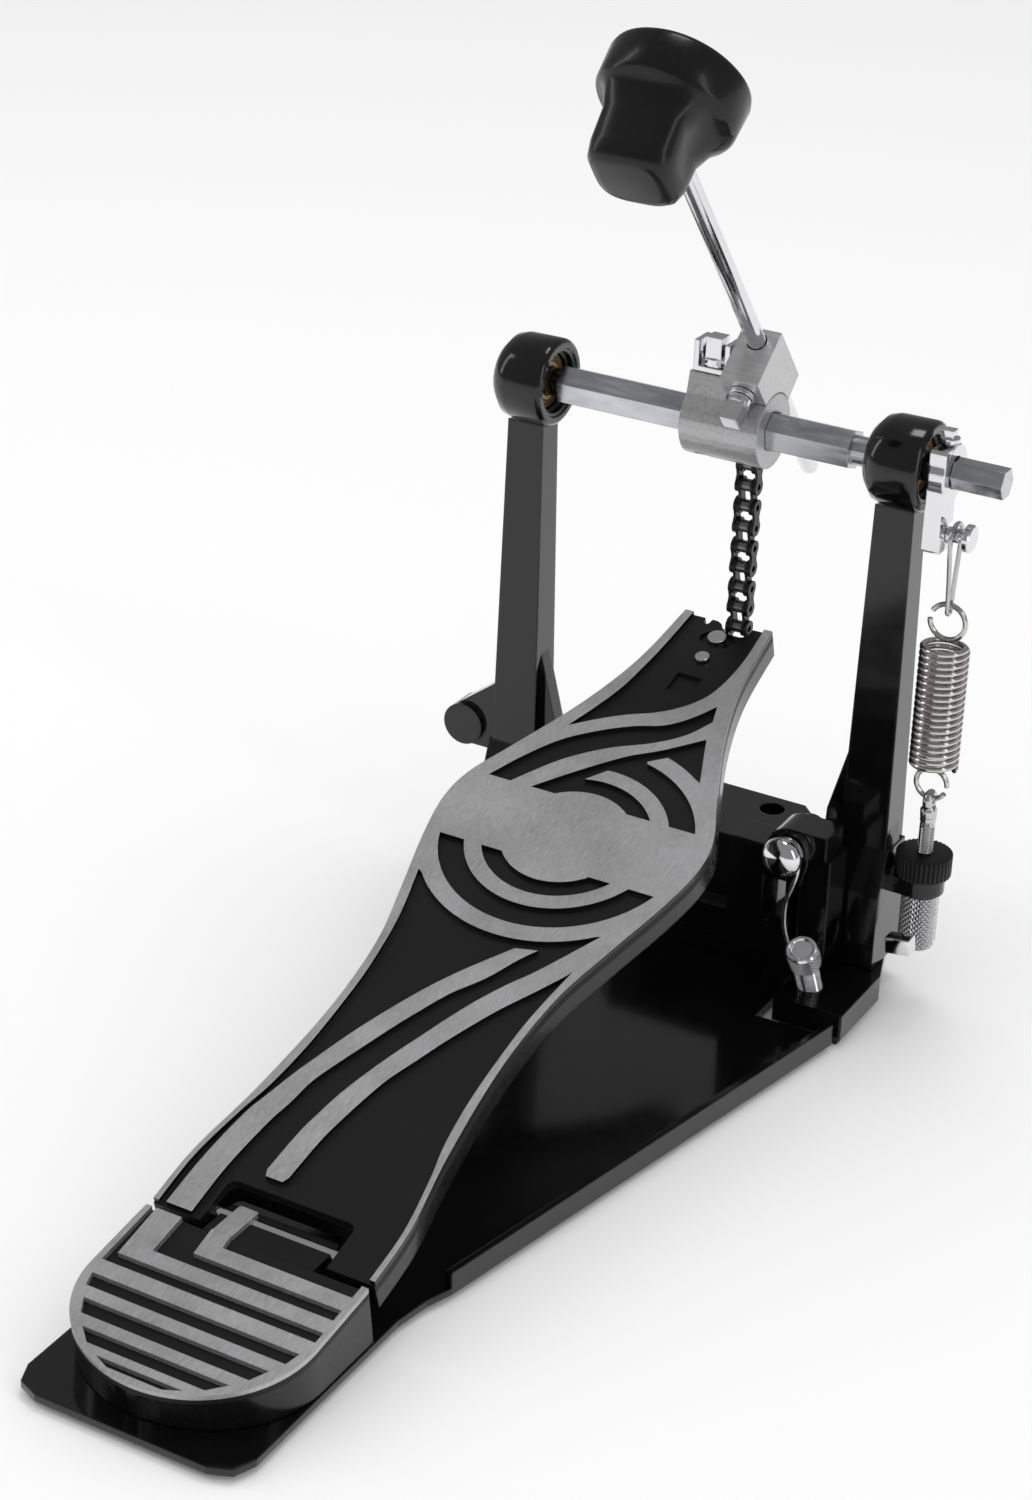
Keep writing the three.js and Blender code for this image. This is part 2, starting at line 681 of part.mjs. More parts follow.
const runTopY = axleY + chainRadius;
const anchorPin = barX(pinRadius, -earPinHalf, earPinHalf, 0, 0, 8);
const linkCount = wrappedLinks + runLinks;
for (let i = 0; i < linkCount; i += 1) {
  const wrapped = i < wrappedLinks;
  const last = i === linkCount - 1;
  const endPin = [];
  if (i === 0) endPin.push(anchorPin);
  if (last) endPin.push(anchorPin.clone().translate(0, 0, -chainPitch));
  const link = add(`chain_link_${String(i + 1).padStart(2, "0")}`, chainLink(i % 2 === 0, endPin), satin);
  const angle = (wrappedLinks - i) * linkAngle;
  if (wrapped) {
    link.position.set(chainX, ...onCam(chainRadius, angle));
    link.rotation.x = angle - linkAngle / 2;
  } else {
    link.position.set(chainX, runTopY, axleZ - (i - wrappedLinks) * chainPitch);
  }
}

// Footboard: cast aluminium, hollow below, in a group that slopes up from the hinge
const boardGroup = new THREE.Group();
boardGroup.position.set(0, 0, boardHingeTop);
boardGroup.rotation.x = boardSlope;
part.add(boardGroup);
const boardTop = 3.2;
const skirt = 11;
const skirtWall = 2.6;
const pinAlong = 7.4;
const pinBelow = 6.3;
const hingePinRadius = 2.4;
const recessHalf = 22.5;
const recessEnd = 17.5;
const earInner = recessHalf + 0.5;

// Half width of the footboard along its length, as shares of that length
const stations = [
  [heelHalfWidth, 0],
  [heelHalfWidth - 0.4, 0.07],
  [34.6, 0.165],
  [waistHalfWidth, 0.285],
  [33.2, 0.39],
  [38.8, 0.47],
  [45.2, 0.55],
  [discHalfWidth, 0.615],
  [46.6, 0.66],
  [39, 0.72],
  [27.6, 0.81],
  [20.2, 0.9],
  [toeHalfWidth, 1],
];

function boardOutline(inset, start, end) {
  const curve = new THREE.SplineCurve(stations.map(([x, share]) => (
    new THREE.Vector2(x - inset, share * boardLength))));
  const half = curve.getPoints(26).filter((p) => p.y > start + 1 && p.y < end - 1);
  const first = new THREE.Vector2(curve.getPoint(0).x, start);
  const last = new THREE.Vector2(curve.getPoint(1).x, end);
  const right = [first, ...half, last];
  const left = right.map((p) => new THREE.Vector2(-p.x, p.y)).reverse();
  return new THREE.Shape([...right, ...left]);
}

const toeScrewAlong = [boardLength - 9.5, boardLength - 21];
const toeScrewRadius = [3.4, 2.6];
const keyHoleAlong = boardLength - 35.2;
function footboard() {
  const outer = plate(boardOutline(0, 0, boardLength), -skirt, 0);
  const hollow = plate(boardOutline(skirtWall, -5, boardLength + 5), -skirt - 1, -boardTop);
  const shell = cut(outer, hollow);
  const bosses = [-1, 1].map((side) => barX(
    5.6,
    side > 0 ? earInner : -heelHalfWidth + 0.5,
    side > 0 ? heelHalfWidth - 0.5 : -earInner,
    pinAlong, -pinBelow,
  ));
  const recess = block(-recessHalf, recessHalf, -5, recessEnd, -skirt - 1, 1);
  const chainNotch = block(chainX - chainWidth / 2 - 0.7, chainX + chainWidth / 2 + 0.7,
    boardLength - 5.5, boardLength + 5, -skirt - 1, 1);
  const keyHole = block(-4.7, 4.7, keyHoleAlong - 4.7, keyHoleAlong + 4.7, -skirt, 1);
  return cut(
    join(shell, ...bosses),
    recess,
    chainNotch,
    keyHole,
    barX(hingePinRadius + gap, -60, 60, pinAlong, -pinBelow, 16),
    ...toeScrewAlong.map((y, i) => barZ(toeScrewRadius[i] - 1 + gap, -skirt, 1, 0, y, 16)),
    ...toeScrewAlong.map((y, i) => barZ(toeScrewRadius[i] + gap, -1.6, 1, 0, y, 16)),
  );
}
add("footboard", footboard(), gloss, boardGroup);
toeScrewAlong.forEach((y, i) => add(i ? "bracket_screw" : "chain_screw", join(
  barZ(toeScrewRadius[i], -1.3, -0.1, 0, y, 16),
  barZ(toeScrewRadius[i] - 1, -4.6, -1, 0, y, 16),
), chrome, boardGroup));

// Chain bracket under the toe: its two ears stand either side of the chain's last link
const bracketSheet = 1.6;
const chainEndZ = axleZ - runLinks * chainPitch;
const endRise = chainEndZ - boardHingeTop;
const endAlong = runTopY * Math.cos(boardSlope) + endRise * Math.sin(boardSlope);
const endBelow = runTopY * Math.sin(boardSlope) - endRise * Math.cos(boardSlope);
const endRoom = 2.3; // the last pin's play in the bracket's slots
function chainBracket() {
  const earX = chainWidth / 2 + 0.6;
  const base = block(-12, 12, boardLength - 29, endAlong - 4.5, -boardTop - gap - bracketSheet,
    -boardTop - gap);
  const ears = [-1, 1].map((side) => {
    const x0 = chainX + (side > 0 ? earX : -earX - bracketSheet);
    return join(
      block(x0, x0 + bracketSheet, boardLength - 20, endAlong, -endBelow - 5, -boardTop - gap),
      barX(5, x0, x0 + bracketSheet, endAlong, -endBelow, 16),
    );
  });
  return cut(
    join(base, ...ears),
    barX(pinRadius + endRoom, -20, 20, endAlong, -endBelow, 12),
    ...toeScrewAlong.map((y, i) => barZ(toeScrewRadius[i] - 1 + gap, -skirt, 1, 0, y, 16)),
  );
}
add("chain_bracket", chainBracket(), chrome, boardGroup);

// Hinge pin and heel plate
const pinY = pinAlong * Math.cos(boardSlope) + pinBelow * Math.sin(boardSlope);
const pinZ = boardHingeTop + pinAlong * Math.sin(boardSlope) - pinBelow * Math.cos(boardSlope);
add("hinge_pin", barX(hingePinRadius, -heelHalfWidth, heelHalfWidth, pinY, pinZ, 16), chrome);

const heelStartY = -3;
const heelLength = 63;
const heelRound = 36;
const heelSlope = THREE.MathUtils.degToRad(8);
const heelWall = 3;
const tongueHalfWidth = 19.6;
const tongueEndY = pinY + 4.6;
function heelOutline(inset) {
  const shape = new THREE.Shape();
  const endY = heelStartY - heelLength;
  const bendY = endY + heelRound;
  shape.moveTo(heelHalfWidth - inset, heelStartY - inset);
  shape.lineTo(-heelHalfWidth + inset, heelStartY - inset);
  shape.lineTo(-heelHalfWidth + inset, bendY);
  shape.absellipse(0, bendY, heelHalfWidth - inset, heelRound - inset, Math.PI, 2 * Math.PI, false, 0);
  return shape;
}

function heelSlab(shape, z0, drop) {
  const settings = { depth: 40, bevelEnabled: false, curveSegments: 10 };
  const column_ = new THREE.ExtrudeGeometry(shape, settings).translate(0, 0, z0);
  const above = block(-60, 60, -100, 60, 0, 60).rotateX(heelSlope)
    .translate(0, heelStartY, boardHingeTop - drop);
  return cut(column_, above);
}

function heelPlate() {
  const shell = cut(heelSlab(heelOutline(0), plateTop + gap, 0),
    heelSlab(heelOutline(heelWall), plateTop - 2, heelWall));
  const tongue = block(-tongueHalfWidth, tongueHalfWidth, heelStartY - 2.5, tongueEndY,
    pinZ - 5, boardHingeTop - 0.4);
  return cut(join(shell, tongue), barX(hingePinRadius + gap, -60, 60, pinY, pinZ, 16));
}
add("heel_plate", heelPlate(), gloss);

// Hoop clamp: the jaw swings on the pivot screw; the bolt through its tail bears on the stop
const jawLeft = -32;
const jawRight = 40;
const jawRearY = axleY - 8;
const jawFrontY = axleY + 27;
const jawBottomZ = 22.5;
const jawTopZ = 47.5;
function jaw() {
  const body = plate(outline([
    [jawLeft + 7, jawRearY],
    [jawRight - 3, jawRearY],
    [jawRight, jawRearY + 4],
    [jawRight, jawFrontY - 7],
    [jawRight - 7, jawFrontY],
    [jawLeft + 7, jawFrontY],
    [jawLeft, jawFrontY - 7],
    [jawLeft, jawRearY + 7],
  ]), jawBottomZ, jawTopZ);
  const neck = block(pivotX - 22, pivotX - 10, leverRearY, jawRearY + 1, jawBottomZ + 6, jawTopZ);
  const lever = join(
    barY(8.5, leverRearY, leverFrontY, pivotX, pivotZ, 28),
    block(pivotX - 22, pivotX, leverRearY, leverFrontY, jawBottomZ + 6, pivotZ),
    block(pivotX, pivotX + 14, leverRearY, leverFrontY, pivotZ - 8.5, pivotZ + 8.5),
    block(tailInner, tailOuter, leverRearY, leverFrontY, boltZ - 6.5, pivotZ),
  );
  return cut(
    join(body, neck, lever),
    block(pivotX - 8.5, tailInner - 1, leverRearY - 1, leverFrontY + 1, 0, pivotZ - 12),
    barY(pivotShank + gap, leverRearY - 1, leverFrontY + 1, pivotX, pivotZ, 20),
    boltTool(4.6 + gap, -10, 30),
    barZ(4.6, jawTopZ - 12, jawTopZ + 1, jawRight - 16, axleY + 18, 20),
  );
}

// The bolt's own line: from the tail outwards, tilted up
function onBolt(geometry) {
  return geometry.rotateY(-boltTilt).translate(tailInner, boltY, boltZ);
}

function boltTool(radius, x0, x1) {
  return onBolt(barX(radius, x0, x1, 0, 0, 20));
}
add("hoop_clamp_jaw", jaw(), gloss);
const boltThread = 31;
const boltHead = 9.5;
add("clamp_bolt", join(
  boltTool(4.6, -boltTipOut, boltThread),
  boltTool(3.8, boltThread - 0.5, boltThread + 1.4),
  onBolt(block(boltThread + 1, boltThread + 1 + boltHead, -3, 3, -3, 3)),
), chrome);

const springRoomY = 4.6;
const pivotHeadY = leverRearY - springRoomY - gap;
add("clamp_pivot_screw", join(
  barY(pivotShank, pivotHeadY - 1, uprightFrontY + 1, pivotX, pivotZ, 20),
  common(
    new THREE.SphereGeometry(7.4, 24, 12).translate(pivotX, pivotHeadY + 2, pivotZ),
    block(pivotX - 9, pivotX + 9, pivotHeadY - 9, pivotHeadY, pivotZ - 9, pivotZ + 9),
  ),
), chrome);
const torsionWire = 0.9;
const torsionRadius = 5.2;
add("clamp_torsion_spring", join(
  cut(
    barY(torsionRadius + torsionWire, pivotHeadY + gap, leverRearY - gap, pivotX, pivotZ, 24),
    barY(torsionRadius - torsionWire, pivotHeadY - 2, leverRearY + 2, pivotX, pivotZ, 24),
  ),
  rodAlong([
    [pivotX + torsionRadius, pivotHeadY + 2, pivotZ + 1],
    [pivotX + torsionRadius - 0.6, pivotHeadY + 2, pivotZ - 7],
    [pivotX + 1.6, pivotHeadY + 2, pivotZ - 17],
    [pivotX + 2.4, pivotHeadY + 2, pivotZ - 27],
    [pivotX + 4.4, pivotHeadY + 2, pivotZ - 34],
  ], torsionWire, 12),
), chrome);

// Spurs: knurled heads on threads that run down and forward through the feet
const spurLength = 34;
const spurHead = 8.5;
const spurHeadRadius = 5.8;
function spur() {
  const profile = [
    [0, 0],
    [spurRadius, 3.2],
    [spurRadius, spurLength - spurHead],
    [spurHeadRadius, spurLength - spurHead],
    [spurHeadRadius, spurLength],
    [0, spurLength],
  ].map(([r, z]) => new THREE.Vector2(r, z));
  return new THREE.LatheGeometry(profile, 20).rotateX(Math.PI / 2).rotateX(spurTilt)
    .translate(spurX, spurFootY, spurFootZ);
}
add("right_spur", spur(), chrome);
add("left_spur", mirrored(spur()), chrome);

export default part;
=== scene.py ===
"""A bass drum pedal with its footboard at rest: cast footboard and heel plate with raised brushed
ribs, chain drive, beater, return spring, hoop clamp and spurs. Metres, floor at Z = 0."""
import math

import bmesh
import bpy
from mathutils import Matrix, Vector


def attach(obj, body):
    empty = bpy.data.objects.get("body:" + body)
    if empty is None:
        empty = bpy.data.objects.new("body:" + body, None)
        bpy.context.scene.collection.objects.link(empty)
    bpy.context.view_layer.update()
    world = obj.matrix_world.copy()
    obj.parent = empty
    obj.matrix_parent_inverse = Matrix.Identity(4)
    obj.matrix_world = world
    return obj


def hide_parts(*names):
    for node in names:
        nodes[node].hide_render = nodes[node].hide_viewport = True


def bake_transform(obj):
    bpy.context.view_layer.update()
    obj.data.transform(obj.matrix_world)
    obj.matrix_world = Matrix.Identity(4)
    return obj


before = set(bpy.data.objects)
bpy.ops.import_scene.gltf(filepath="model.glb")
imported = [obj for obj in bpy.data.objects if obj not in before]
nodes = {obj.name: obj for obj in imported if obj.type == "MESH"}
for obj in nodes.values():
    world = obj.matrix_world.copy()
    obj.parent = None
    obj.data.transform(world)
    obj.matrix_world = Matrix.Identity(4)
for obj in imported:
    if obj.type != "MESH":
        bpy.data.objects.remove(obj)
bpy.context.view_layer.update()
MM = 0.001

# --- Camera -----------------------------------------------------------------------------------
# A long lens a little above the pedal, in front of it and to its spring side, rolled slightly.
camera_data = bpy.data.cameras.new("camera")
camera_data.lens = 75.3
camera_data.clip_end = 20
camera = bpy.data.objects.new("camera", camera_data)
bpy.context.collection.objects.link(camera)
turn, rise, roll = (math.radians(a) for a in (29.168, 26.796, 1.891))
back = Vector((math.sin(turn) * math.cos(rise), -math.cos(turn) * math.cos(rise), math.sin(rise)))
side = (-back).cross(Vector((0, 0, 1))).normalized()
upward = side.cross(-back)
camera_side = side * math.cos(roll) + upward * math.sin(roll)
camera_up = upward * math.cos(roll) - side * math.sin(roll)
camera.matrix_world = Matrix((
    (camera_side.x, camera_up.x, back.x, 0.43107),
    (camera_side.y, camera_up.y, back.y, -0.62821),
    (camera_side.z, camera_up.z, back.z, 0.57388),
    (0, 0, 0, 1),
))
bpy.context.scene.camera = camera

# --- Gloss black castings: posts, cross member, base plate, clamp jaw ----------------------------
# Steel and zinc castings under thick black gloss paint, with the paint's faint orange peel and
# edges that the paint rounds off.


def finish(name, colour, metal, rough, peel=0.0, grain=600, streak=(1, 1, 1), spread=0.06,
           shade=0.12, coat=0.0, edge=0.0005):
    material = bpy.data.materials.new(name)
    material.use_nodes = True
    tree = material.node_tree
    shader = tree.nodes["Principled BSDF"]
    shader.inputs["Metallic"].default_value = metal
    shader.inputs["Specular IOR Level"].default_value = 0.3
    shader.inputs["Coat Weight"].default_value = coat
    shader.inputs["Coat Roughness"].default_value = 0.08
    place = tree.nodes.new("ShaderNodeTexCoord")
    stretch = tree.nodes.new("ShaderNodeMapping")
    stretch.inputs["Scale"].default_value = streak
    tree.links.new(place.outputs["Object"], stretch.inputs["Vector"])
    fine = tree.nodes.new("ShaderNodeTexNoise")
    fine.inputs["Scale"].default_value = grain
    fine.inputs["Detail"].default_value = 3
    tree.links.new(stretch.outputs["Vector"], fine.inputs["Vector"])
    broad = tree.nodes.new("ShaderNodeTexNoise")
    broad.inputs["Scale"].default_value = 40
    tree.links.new(place.outputs["Object"], broad.inputs["Vector"])
    mixed = tree.nodes.new("ShaderNodeMath")
    mixed.operation = "MULTIPLY_ADD"
    mixed.inputs[1].default_value = 0.6
    tree.links.new(fine.outputs["Fac"], mixed.inputs[0])
    halved = tree.nodes.new("ShaderNodeMath")
    halved.operation = "MULTIPLY"
    halved.inputs[1].default_value = 0.4
    tree.links.new(broad.outputs["Fac"], halved.inputs[0])
    tree.links.new(halved.outputs[0], mixed.inputs[2])
    tint = tree.nodes.new("ShaderNodeValToRGB")
    tint.color_ramp.elements[0].position = 0.3
    tint.color_ramp.elements[1].position = 0.7
    tint.color_ramp.elements[0].color = tuple(c * (1 - shade) for c in colour) + (1,)
    tint.color_ramp.elements[1].color = tuple(min(1, c * (1 + shade)) for c in colour) + (1,)
    tree.links.new(mixed.outputs[0], tint.inputs["Fac"])
    tree.links.new(tint.outputs["Color"], shader.inputs["Base Color"])
    sheen = tree.nodes.new("ShaderNodeMapRange")
    sheen.inputs["From Min"].default_value = 0.3
    sheen.inputs["From Max"].default_value = 0.7
    sheen.inputs["To Min"].default_value = max(0.02, rough - spread)
    sheen.inputs["To Max"].default_value = rough + spread
    tree.links.new(mixed.outputs[0], sheen.inputs["Value"])
    tree.links.new(sheen.outputs["Result"], shader.inputs["Roughness"])
    rounded = tree.nodes.new("ShaderNodeBevel")
    rounded.samples = 4
    rounded.inputs["Radius"].default_value = edge
    bump = tree.nodes.new("ShaderNodeBump")
    bump.inputs["Strength"].default_value = 0.5
    bump.inputs["Distance"].default_value = peel
    tree.links.new(mixed.outputs[0], bump.inputs["Height"])
    tree.links.new(rounded.outputs["Normal"], bump.inputs["Normal"])
    tree.links.new(bump.outputs["Normal"], shader.inputs["Normal"])
    return material


def wear(node, material):
    mesh = nodes[node].data
    mesh.materials.clear()
    mesh.materials.append(material)


black_gloss = finish("black_gloss_paint", (0.003, 0.003, 0.0035), 0, 0.14, peel=0.00004, grain=260,
                     coat=0.5, edge=0.0012)
for name in ("left_post", "right_post", "base_casting", "hoop_clamp_jaw", "base_plate"):
    wear(name, black_gloss)

# --- Pads ---------------------------------------------------------------------------------------
# Moulded rubber under the heel and the feet, and on the seat where the drum hoop rests.
rubber = finish("black_rubber", (0.02, 0.02, 0.02), 0, 0.75, peel=0.0001, grain=900)
for name in ("heel_pad", "left_foot_pad", "right_foot_pad", "hoop_seat_pad"):
    wear(name, rubber)

# --- Footboard -----------------------------------------------------------------------------------
# An aluminium casting, hollow below. Black satin paint lies in its recesses and the raised ribs
# and rims are ground bare, so that they show a fine lengthwise grain. The wide band stays plain.
BOARD_LENGTH = 309
SLOPE = math.radians(16.6)
BOARD_TOP = 26.3
RELIEF = 1.7
to_board = Matrix.Translation((0, 0, BOARD_TOP * MM)) @ Matrix.Rotation(SLOPE, 4, "X")
to_board = to_board @ Matrix.Scale(MM, 4)

bare_alloy = finish("ground_alloy", (0.5, 0.5, 0.51), 0.75, 0.42, peel=0.00003, grain=900,
                    streak=(2.2, 0.25, 1), shade=0.2, spread=0.1, edge=0.0004)
black_recess = finish("black_recess_paint", (0.005, 0.005, 0.0055), 0, 0.42, peel=0.00003, grain=1500,
                      edge=0.0005)
black_side = finish("black_side_paint", (0.004, 0.004, 0.0045), 0, 0.26, peel=0.00003, grain=300,
                    coat=0.3, edge=0.001)


def through(points, per=6):
    """A smooth line through the points: each span is a cubic that leans along its neighbours."""
    line = []
    last = len(points) - 1
    for i in range(last):
        before, start, end, after = (Vector(points[min(max(k, 0), last)]) for k in range(i - 1, i + 3))
        for step in range(per):
            t = step / per
            line.append(tuple(0.5 * (2 * start + (end - before) * t
                              + (2 * before - 5 * start + 4 * end - after) * t * t
                              + (3 * start - before - 3 * end + after) * t ** 3)))
    line.append(tuple(points[-1]))
    return line


def arc(centre, radius, start, end, steps=24):
    angles = [math.radians(start + (end - start) * i / steps) for i in range(steps + 1)]
    return [(centre[0] + radius * math.cos(a), centre[1] + radius * math.sin(a)) for a in angles]


def slab(shape, outlines, low, high, place, paint=0):
    """Fills the outlines, the first with the rest as holes, and pulls the sheet up into a slab."""
    edges = []
    for outline in outlines:
        corners = [shape.verts.new((x, y, low)) for x, y in outline]
        edges += [shape.edges.new((a, b)) for a, b in zip(corners, corners[1:] + corners[:1])]
    filled = bmesh.ops.triangle_fill(shape, use_beauty=True, use_dissolve=False, edges=edges)
    sheet = [g for g in filled["geom"] if isinstance(g, bmesh.types.BMFace)]
    raised = bmesh.ops.extrude_face_region(shape, geom=sheet, use_keep_orig=True)["geom"]
    top = [g for g in raised if isinstance(g, bmesh.types.BMVert)]
    bmesh.ops.translate(shape, verts=top, vec=(0, 0, high - low))
    made = {v for e in edges for v in e.verts} | set(top)
    for face in {f for v in made for f in v.link_faces}:
        face.material_index = paint
    bmesh.ops.transform(shape, matrix=place, verts=list(made))


def piece(name, shape, materials, body, replaced=(), smooth=35, stretched=None):
    bmesh.ops.remove_doubles(shape, verts=shape.verts, dist=1e-7)
    bmesh.ops.recalc_face_normals(shape, faces=shape.faces)
    mesh = bpy.data.meshes.new(name)
    shape.to_mesh(mesh)
    shape.free()
    for material in materials:
        mesh.materials.append(material)
    made = bpy.data.objects.new(name, mesh)
    bpy.context.collection.objects.link(made)
    mesh.shade_smooth()
    mesh.set_sharp_from_angle(angle=math.radians(smooth))
    if stretched:
        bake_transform(made)
    else:
        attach(made, body)
    if replaced:
        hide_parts(*replaced)
    return made


board_side = through([(39.3, 0), (38.9, 22), (34.6, 51), (31.7, 88), (33.2, 120), (38.8, 145),
                      (45.2, 170), (48.3, 189), (46.6, 204), (39, 222), (27.6, 250), (20.2, 278),
                      (17.2, BOARD_LENGTH)])
left_side = [(-x, y) for x, y in board_side]
# The lower field, with the long rib that grows out of the right rim standing in it
right_rim = through([(37.4, 0.5), (37.3, 20), (34.3, 40), (31.2, 55), (29.3, 75), (29.1, 100),
                     (30, 115), (32.3, 133.5)])
long_rib_right = through([(31, 130.5), (25, 120), (19, 110), (14, 100), (9.5, 90), (5.5, 80),
                          (1.5, 70), (-1, 60), (-3, 50), (-4.5, 40), (-5.4, 24)])
long_rib_left = through([(-13.4, 24), (-12.5, 40), (-11, 50), (-9, 60), (-6, 70), (-2.5, 80),
                         (1.5, 90), (5.5, 100), (10, 110), (15.5, 120), (22, 130), (33.2, 150.8)])
ring = (0, 187.9)
field_top = arc(ring, 49.4, -47.5, -140, 30)
left_rim = through([(-38, 155.5), (-32.6, 134), (-30, 115), (-29.1, 100), (-29.3, 75),
                    (-31.2, 55), (-34.3, 40), (-37.3, 20), (-37.4, 0.5)])
toe_left = through([(-14, BOARD_LENGTH), (-15, 290), (-16.5, 275), (-18.5, 262), (-22, 250),
                    (-26.5, 237.5)])
toe_right = through([(-26.5, 237.5), (-18, 244.5), (-10, 250), (0, 255.5), (8, 263), (13, 273),
                     (15, 290), (14, BOARD_LENGTH)])
silver = [[(-39.3, 0.5)] + left_side[2:] + toe_left + toe_right[1:] + board_side[:1:-1]
          + [(39.3, 0.5)] + right_rim + long_rib_right + [(-6.4, 21.6), (-12.4, 21.6)]
          + long_rib_left + field_top[1:-1] + left_rim]
upper_stripe = (through([(-39.5, 205), (-33, 218), (-25, 230), (-15, 239), (-5, 245.5), (5, 250),
                         (12, 257), (17.3, 265.3)])
                + through([(19.5, 257.5), (14, 248), (5, 240), (-8, 232), (-20, 221), (-31, 205)]))


def reach(radius, height):
    return math.degrees(math.asin((height - ring[1]) / radius))


crescents = (through([(-23, 205), (-12, 218), (0, 230.5), (10, 238), (21.5, 248.5)])
             + through([(22, 247.5), (25, 239.5), (29.5, 228)])
             + arc(ring, 49.4, 53.2, 74, 6)[1:] + [(8, 231)]
             + arc(ring, 42.9, 78.5, reach(42.9, 205))
             + arc(ring, 34.2, reach(34.2, 205), 94)
             + arc(ring, 28.3, 105.8, reach(28.3, 205))
             + arc(ring, 21.9, reach(21.9, 205), 180 - reach(21.9, 205)))


def lower_crescent(outer, inner, height=173.5):
    low, high = reach(outer, height), reach(inner, height)
    return arc(ring, outer, low, -180 - low, 30) + arc(ring, inner, -180 - high, high, 30)


silver += [upper_stripe, crescents, lower_crescent(42.9, 34.2), lower_crescent(28.3, 21.9)]
short_rib = (through([(-34.8, 0.8), (-34.5, 20), (-32.5, 40), (-30, 50), (-27.3, 60), (-24, 70),
                      (-20.5, 80), (-16.5, 90), (-12, 100), (-7, 110), (-1, 120), (6, 130),
                      (10, 135.5)])
             + through([(17.5, 137.4), (13.5, 131), (8, 120), (1, 110), (-4, 100), (-8.5, 90),
                        (-12.5, 80), (-16.5, 70), (-20, 60), (-21.5, 50), (-23.5, 40), (-25.5, 20),
                        (-25.5, 0.8)]))
# The board's own outline, with the recess for the heel plate's tongue and the notches at the toe
recess = [(22.5, 0), (22.5, 15), (21.6, 16.8), (20, 17.5), (-20, 17.5), (-21.6, 16.8), (-22.5, 15),
          (-22.5, 0)]
toe_notches = [(9.4, BOARD_LENGTH), (9.0, 305), (7, 303.6), (1.5, 303.6), (-0.7, 305.5),
               (-2.5, 308), (-4.5, BOARD_LENGTH), (-6.6, BOARD_LENGTH), (-6.9, 306.8),
               (-7.8, 306), (-8.8, 306.4), (-9.4, BOARD_LENGTH)]
whole = left_side[::-1] + recess[::-1] + board_side + toe_notches
bar_hole = [(4.7, 269.1), (4.7, 278.5), (-4.7, 278.5), (-4.7, 269.1)]


def slot_hole(along, half_length, radius):
    return (arc((half_length, along), radius, -90, 90, 8)
            + arc((-half_length, along), radius, 90, 270, 8))


screw_slot = slot_hole(299.5, 2.6, 3.9)
inner = ([(-x + 2.6, y) for x, y in board_side if 21 < y < 300]
         + [(x - 2.6, y) for x, y in board_side[::-1] if 21 < y < 300])
footboard = bmesh.new()
slab(footboard, silver, -RELIEF, 0, to_board, 0)
slab(footboard, [short_rib], -RELIEF, 0, to_board, 0)
slab(footboard, [whole, bar_hole, screw_slot], -3, -RELIEF, to_board, 1)
slab(footboard, [whole], -4.2, -3, to_board, 1)
slab(footboard, [whole, inner], -11, -4.2, to_board, 2)
for face in footboard.faces:
    local_normal = to_board.to_3x3().normalized().transposed() @ face.normal
    if abs(local_normal.z) < 0.3 and face.material_index == 0:
        centre = to_board.inverted() @ face.calc_center_median()
        rim = min((abs(abs(centre.x) - abs(x)) + abs(centre.y - y) for x, y in board_side))
        face.material_index = 2 if rim < 6 and abs(centre.x) > 16 else 1
piece("footboard_casting", footboard, (bare_alloy, black_recess, black_side), "footboard_group",
      ["footboard"], smooth=30)

# --- Heel plate ----------------------------------------------------------------------------------
# The second casting: it slopes down to a round heel, has cross bars in its recess and a tongue
# that reaches between the footboard's two ears.
HEEL_EDGE = -3
heel_slope = math.radians(8)
to_heel = Matrix.Translation((0, HEEL_EDGE * MM, BOARD_TOP * MM)) @ Matrix.Rotation(heel_slope, 4, "X")
to_heel = to_heel @ Matrix.Scale(MM, 4)


def heel_round(inset, half=39.3, bend=-27.5, length=35.8, steps=40):
    return [((half - inset) * math.cos(math.pi * i / steps),
             bend - (length - inset) * math.sin(math.pi * i / steps)) for i in range(steps + 1)]


def bar_slot(top, bottom, half_top, half_bottom, shift=0.0):
    return [(half_top + shift, top), (-half_top + shift, top), (-half_bottom + shift, bottom),
            (half_bottom + shift, bottom)]


heel_outline = [(39.3, 0)] + heel_round(0) + [(-39.3, 0)]
heel_silver = [heel_outline + [(-37.3, 0), (-37.2, -25.6), (37.6, -25.6), (37.6, -21.3),
                               (-34.4, -21.3), (-35.6, 0), (-26.4, 0), (-25.8, -15.8),
                               (37.4, -15.8), (37.2, -11.2), (-14.4, -11.2), (-15.6, 0),
                               (-8.8, 0), (-8, -5.4), (37.1, -5.4), (37.1, 0)]]
heel_silver += [bar_slot(-31.5, -36.6, 36.2, 34.8), bar_slot(-41.1, -46.6, 32.2, 29.2),
                bar_slot(-50.8, -55.6, 25.4, 20.4), bar_slot(-58.6, -61, 15, 9.5)]
tongue = [(19.6, -2), (19.6, 14.6), (18.4, 16), (-18.4, 16), (-19.6, 14.6), (-19.6, -2)]
heel = bmesh.new()
slab(heel, heel_silver, -RELIEF, 0, to_heel, 0)
slab(heel, [heel_outline], -3.5, -RELIEF, to_heel, 1)
level_tongue = Matrix.Translation((0, HEEL_EDGE * MM, BOARD_TOP * MM)) @ Matrix.Scale(MM, 4)
slab(heel, [tongue], -8.5, -2.1, level_tongue, 1)
slab(heel, [[(-8.8, -1), (-8.8, 14.4), (-9.4, 14.9), (-15, 14.9), (-15.6, 14.4), (-15.6, -1)]],
     -2.1, -0.5, level_tongue, 0)
skirt = bmesh.new()
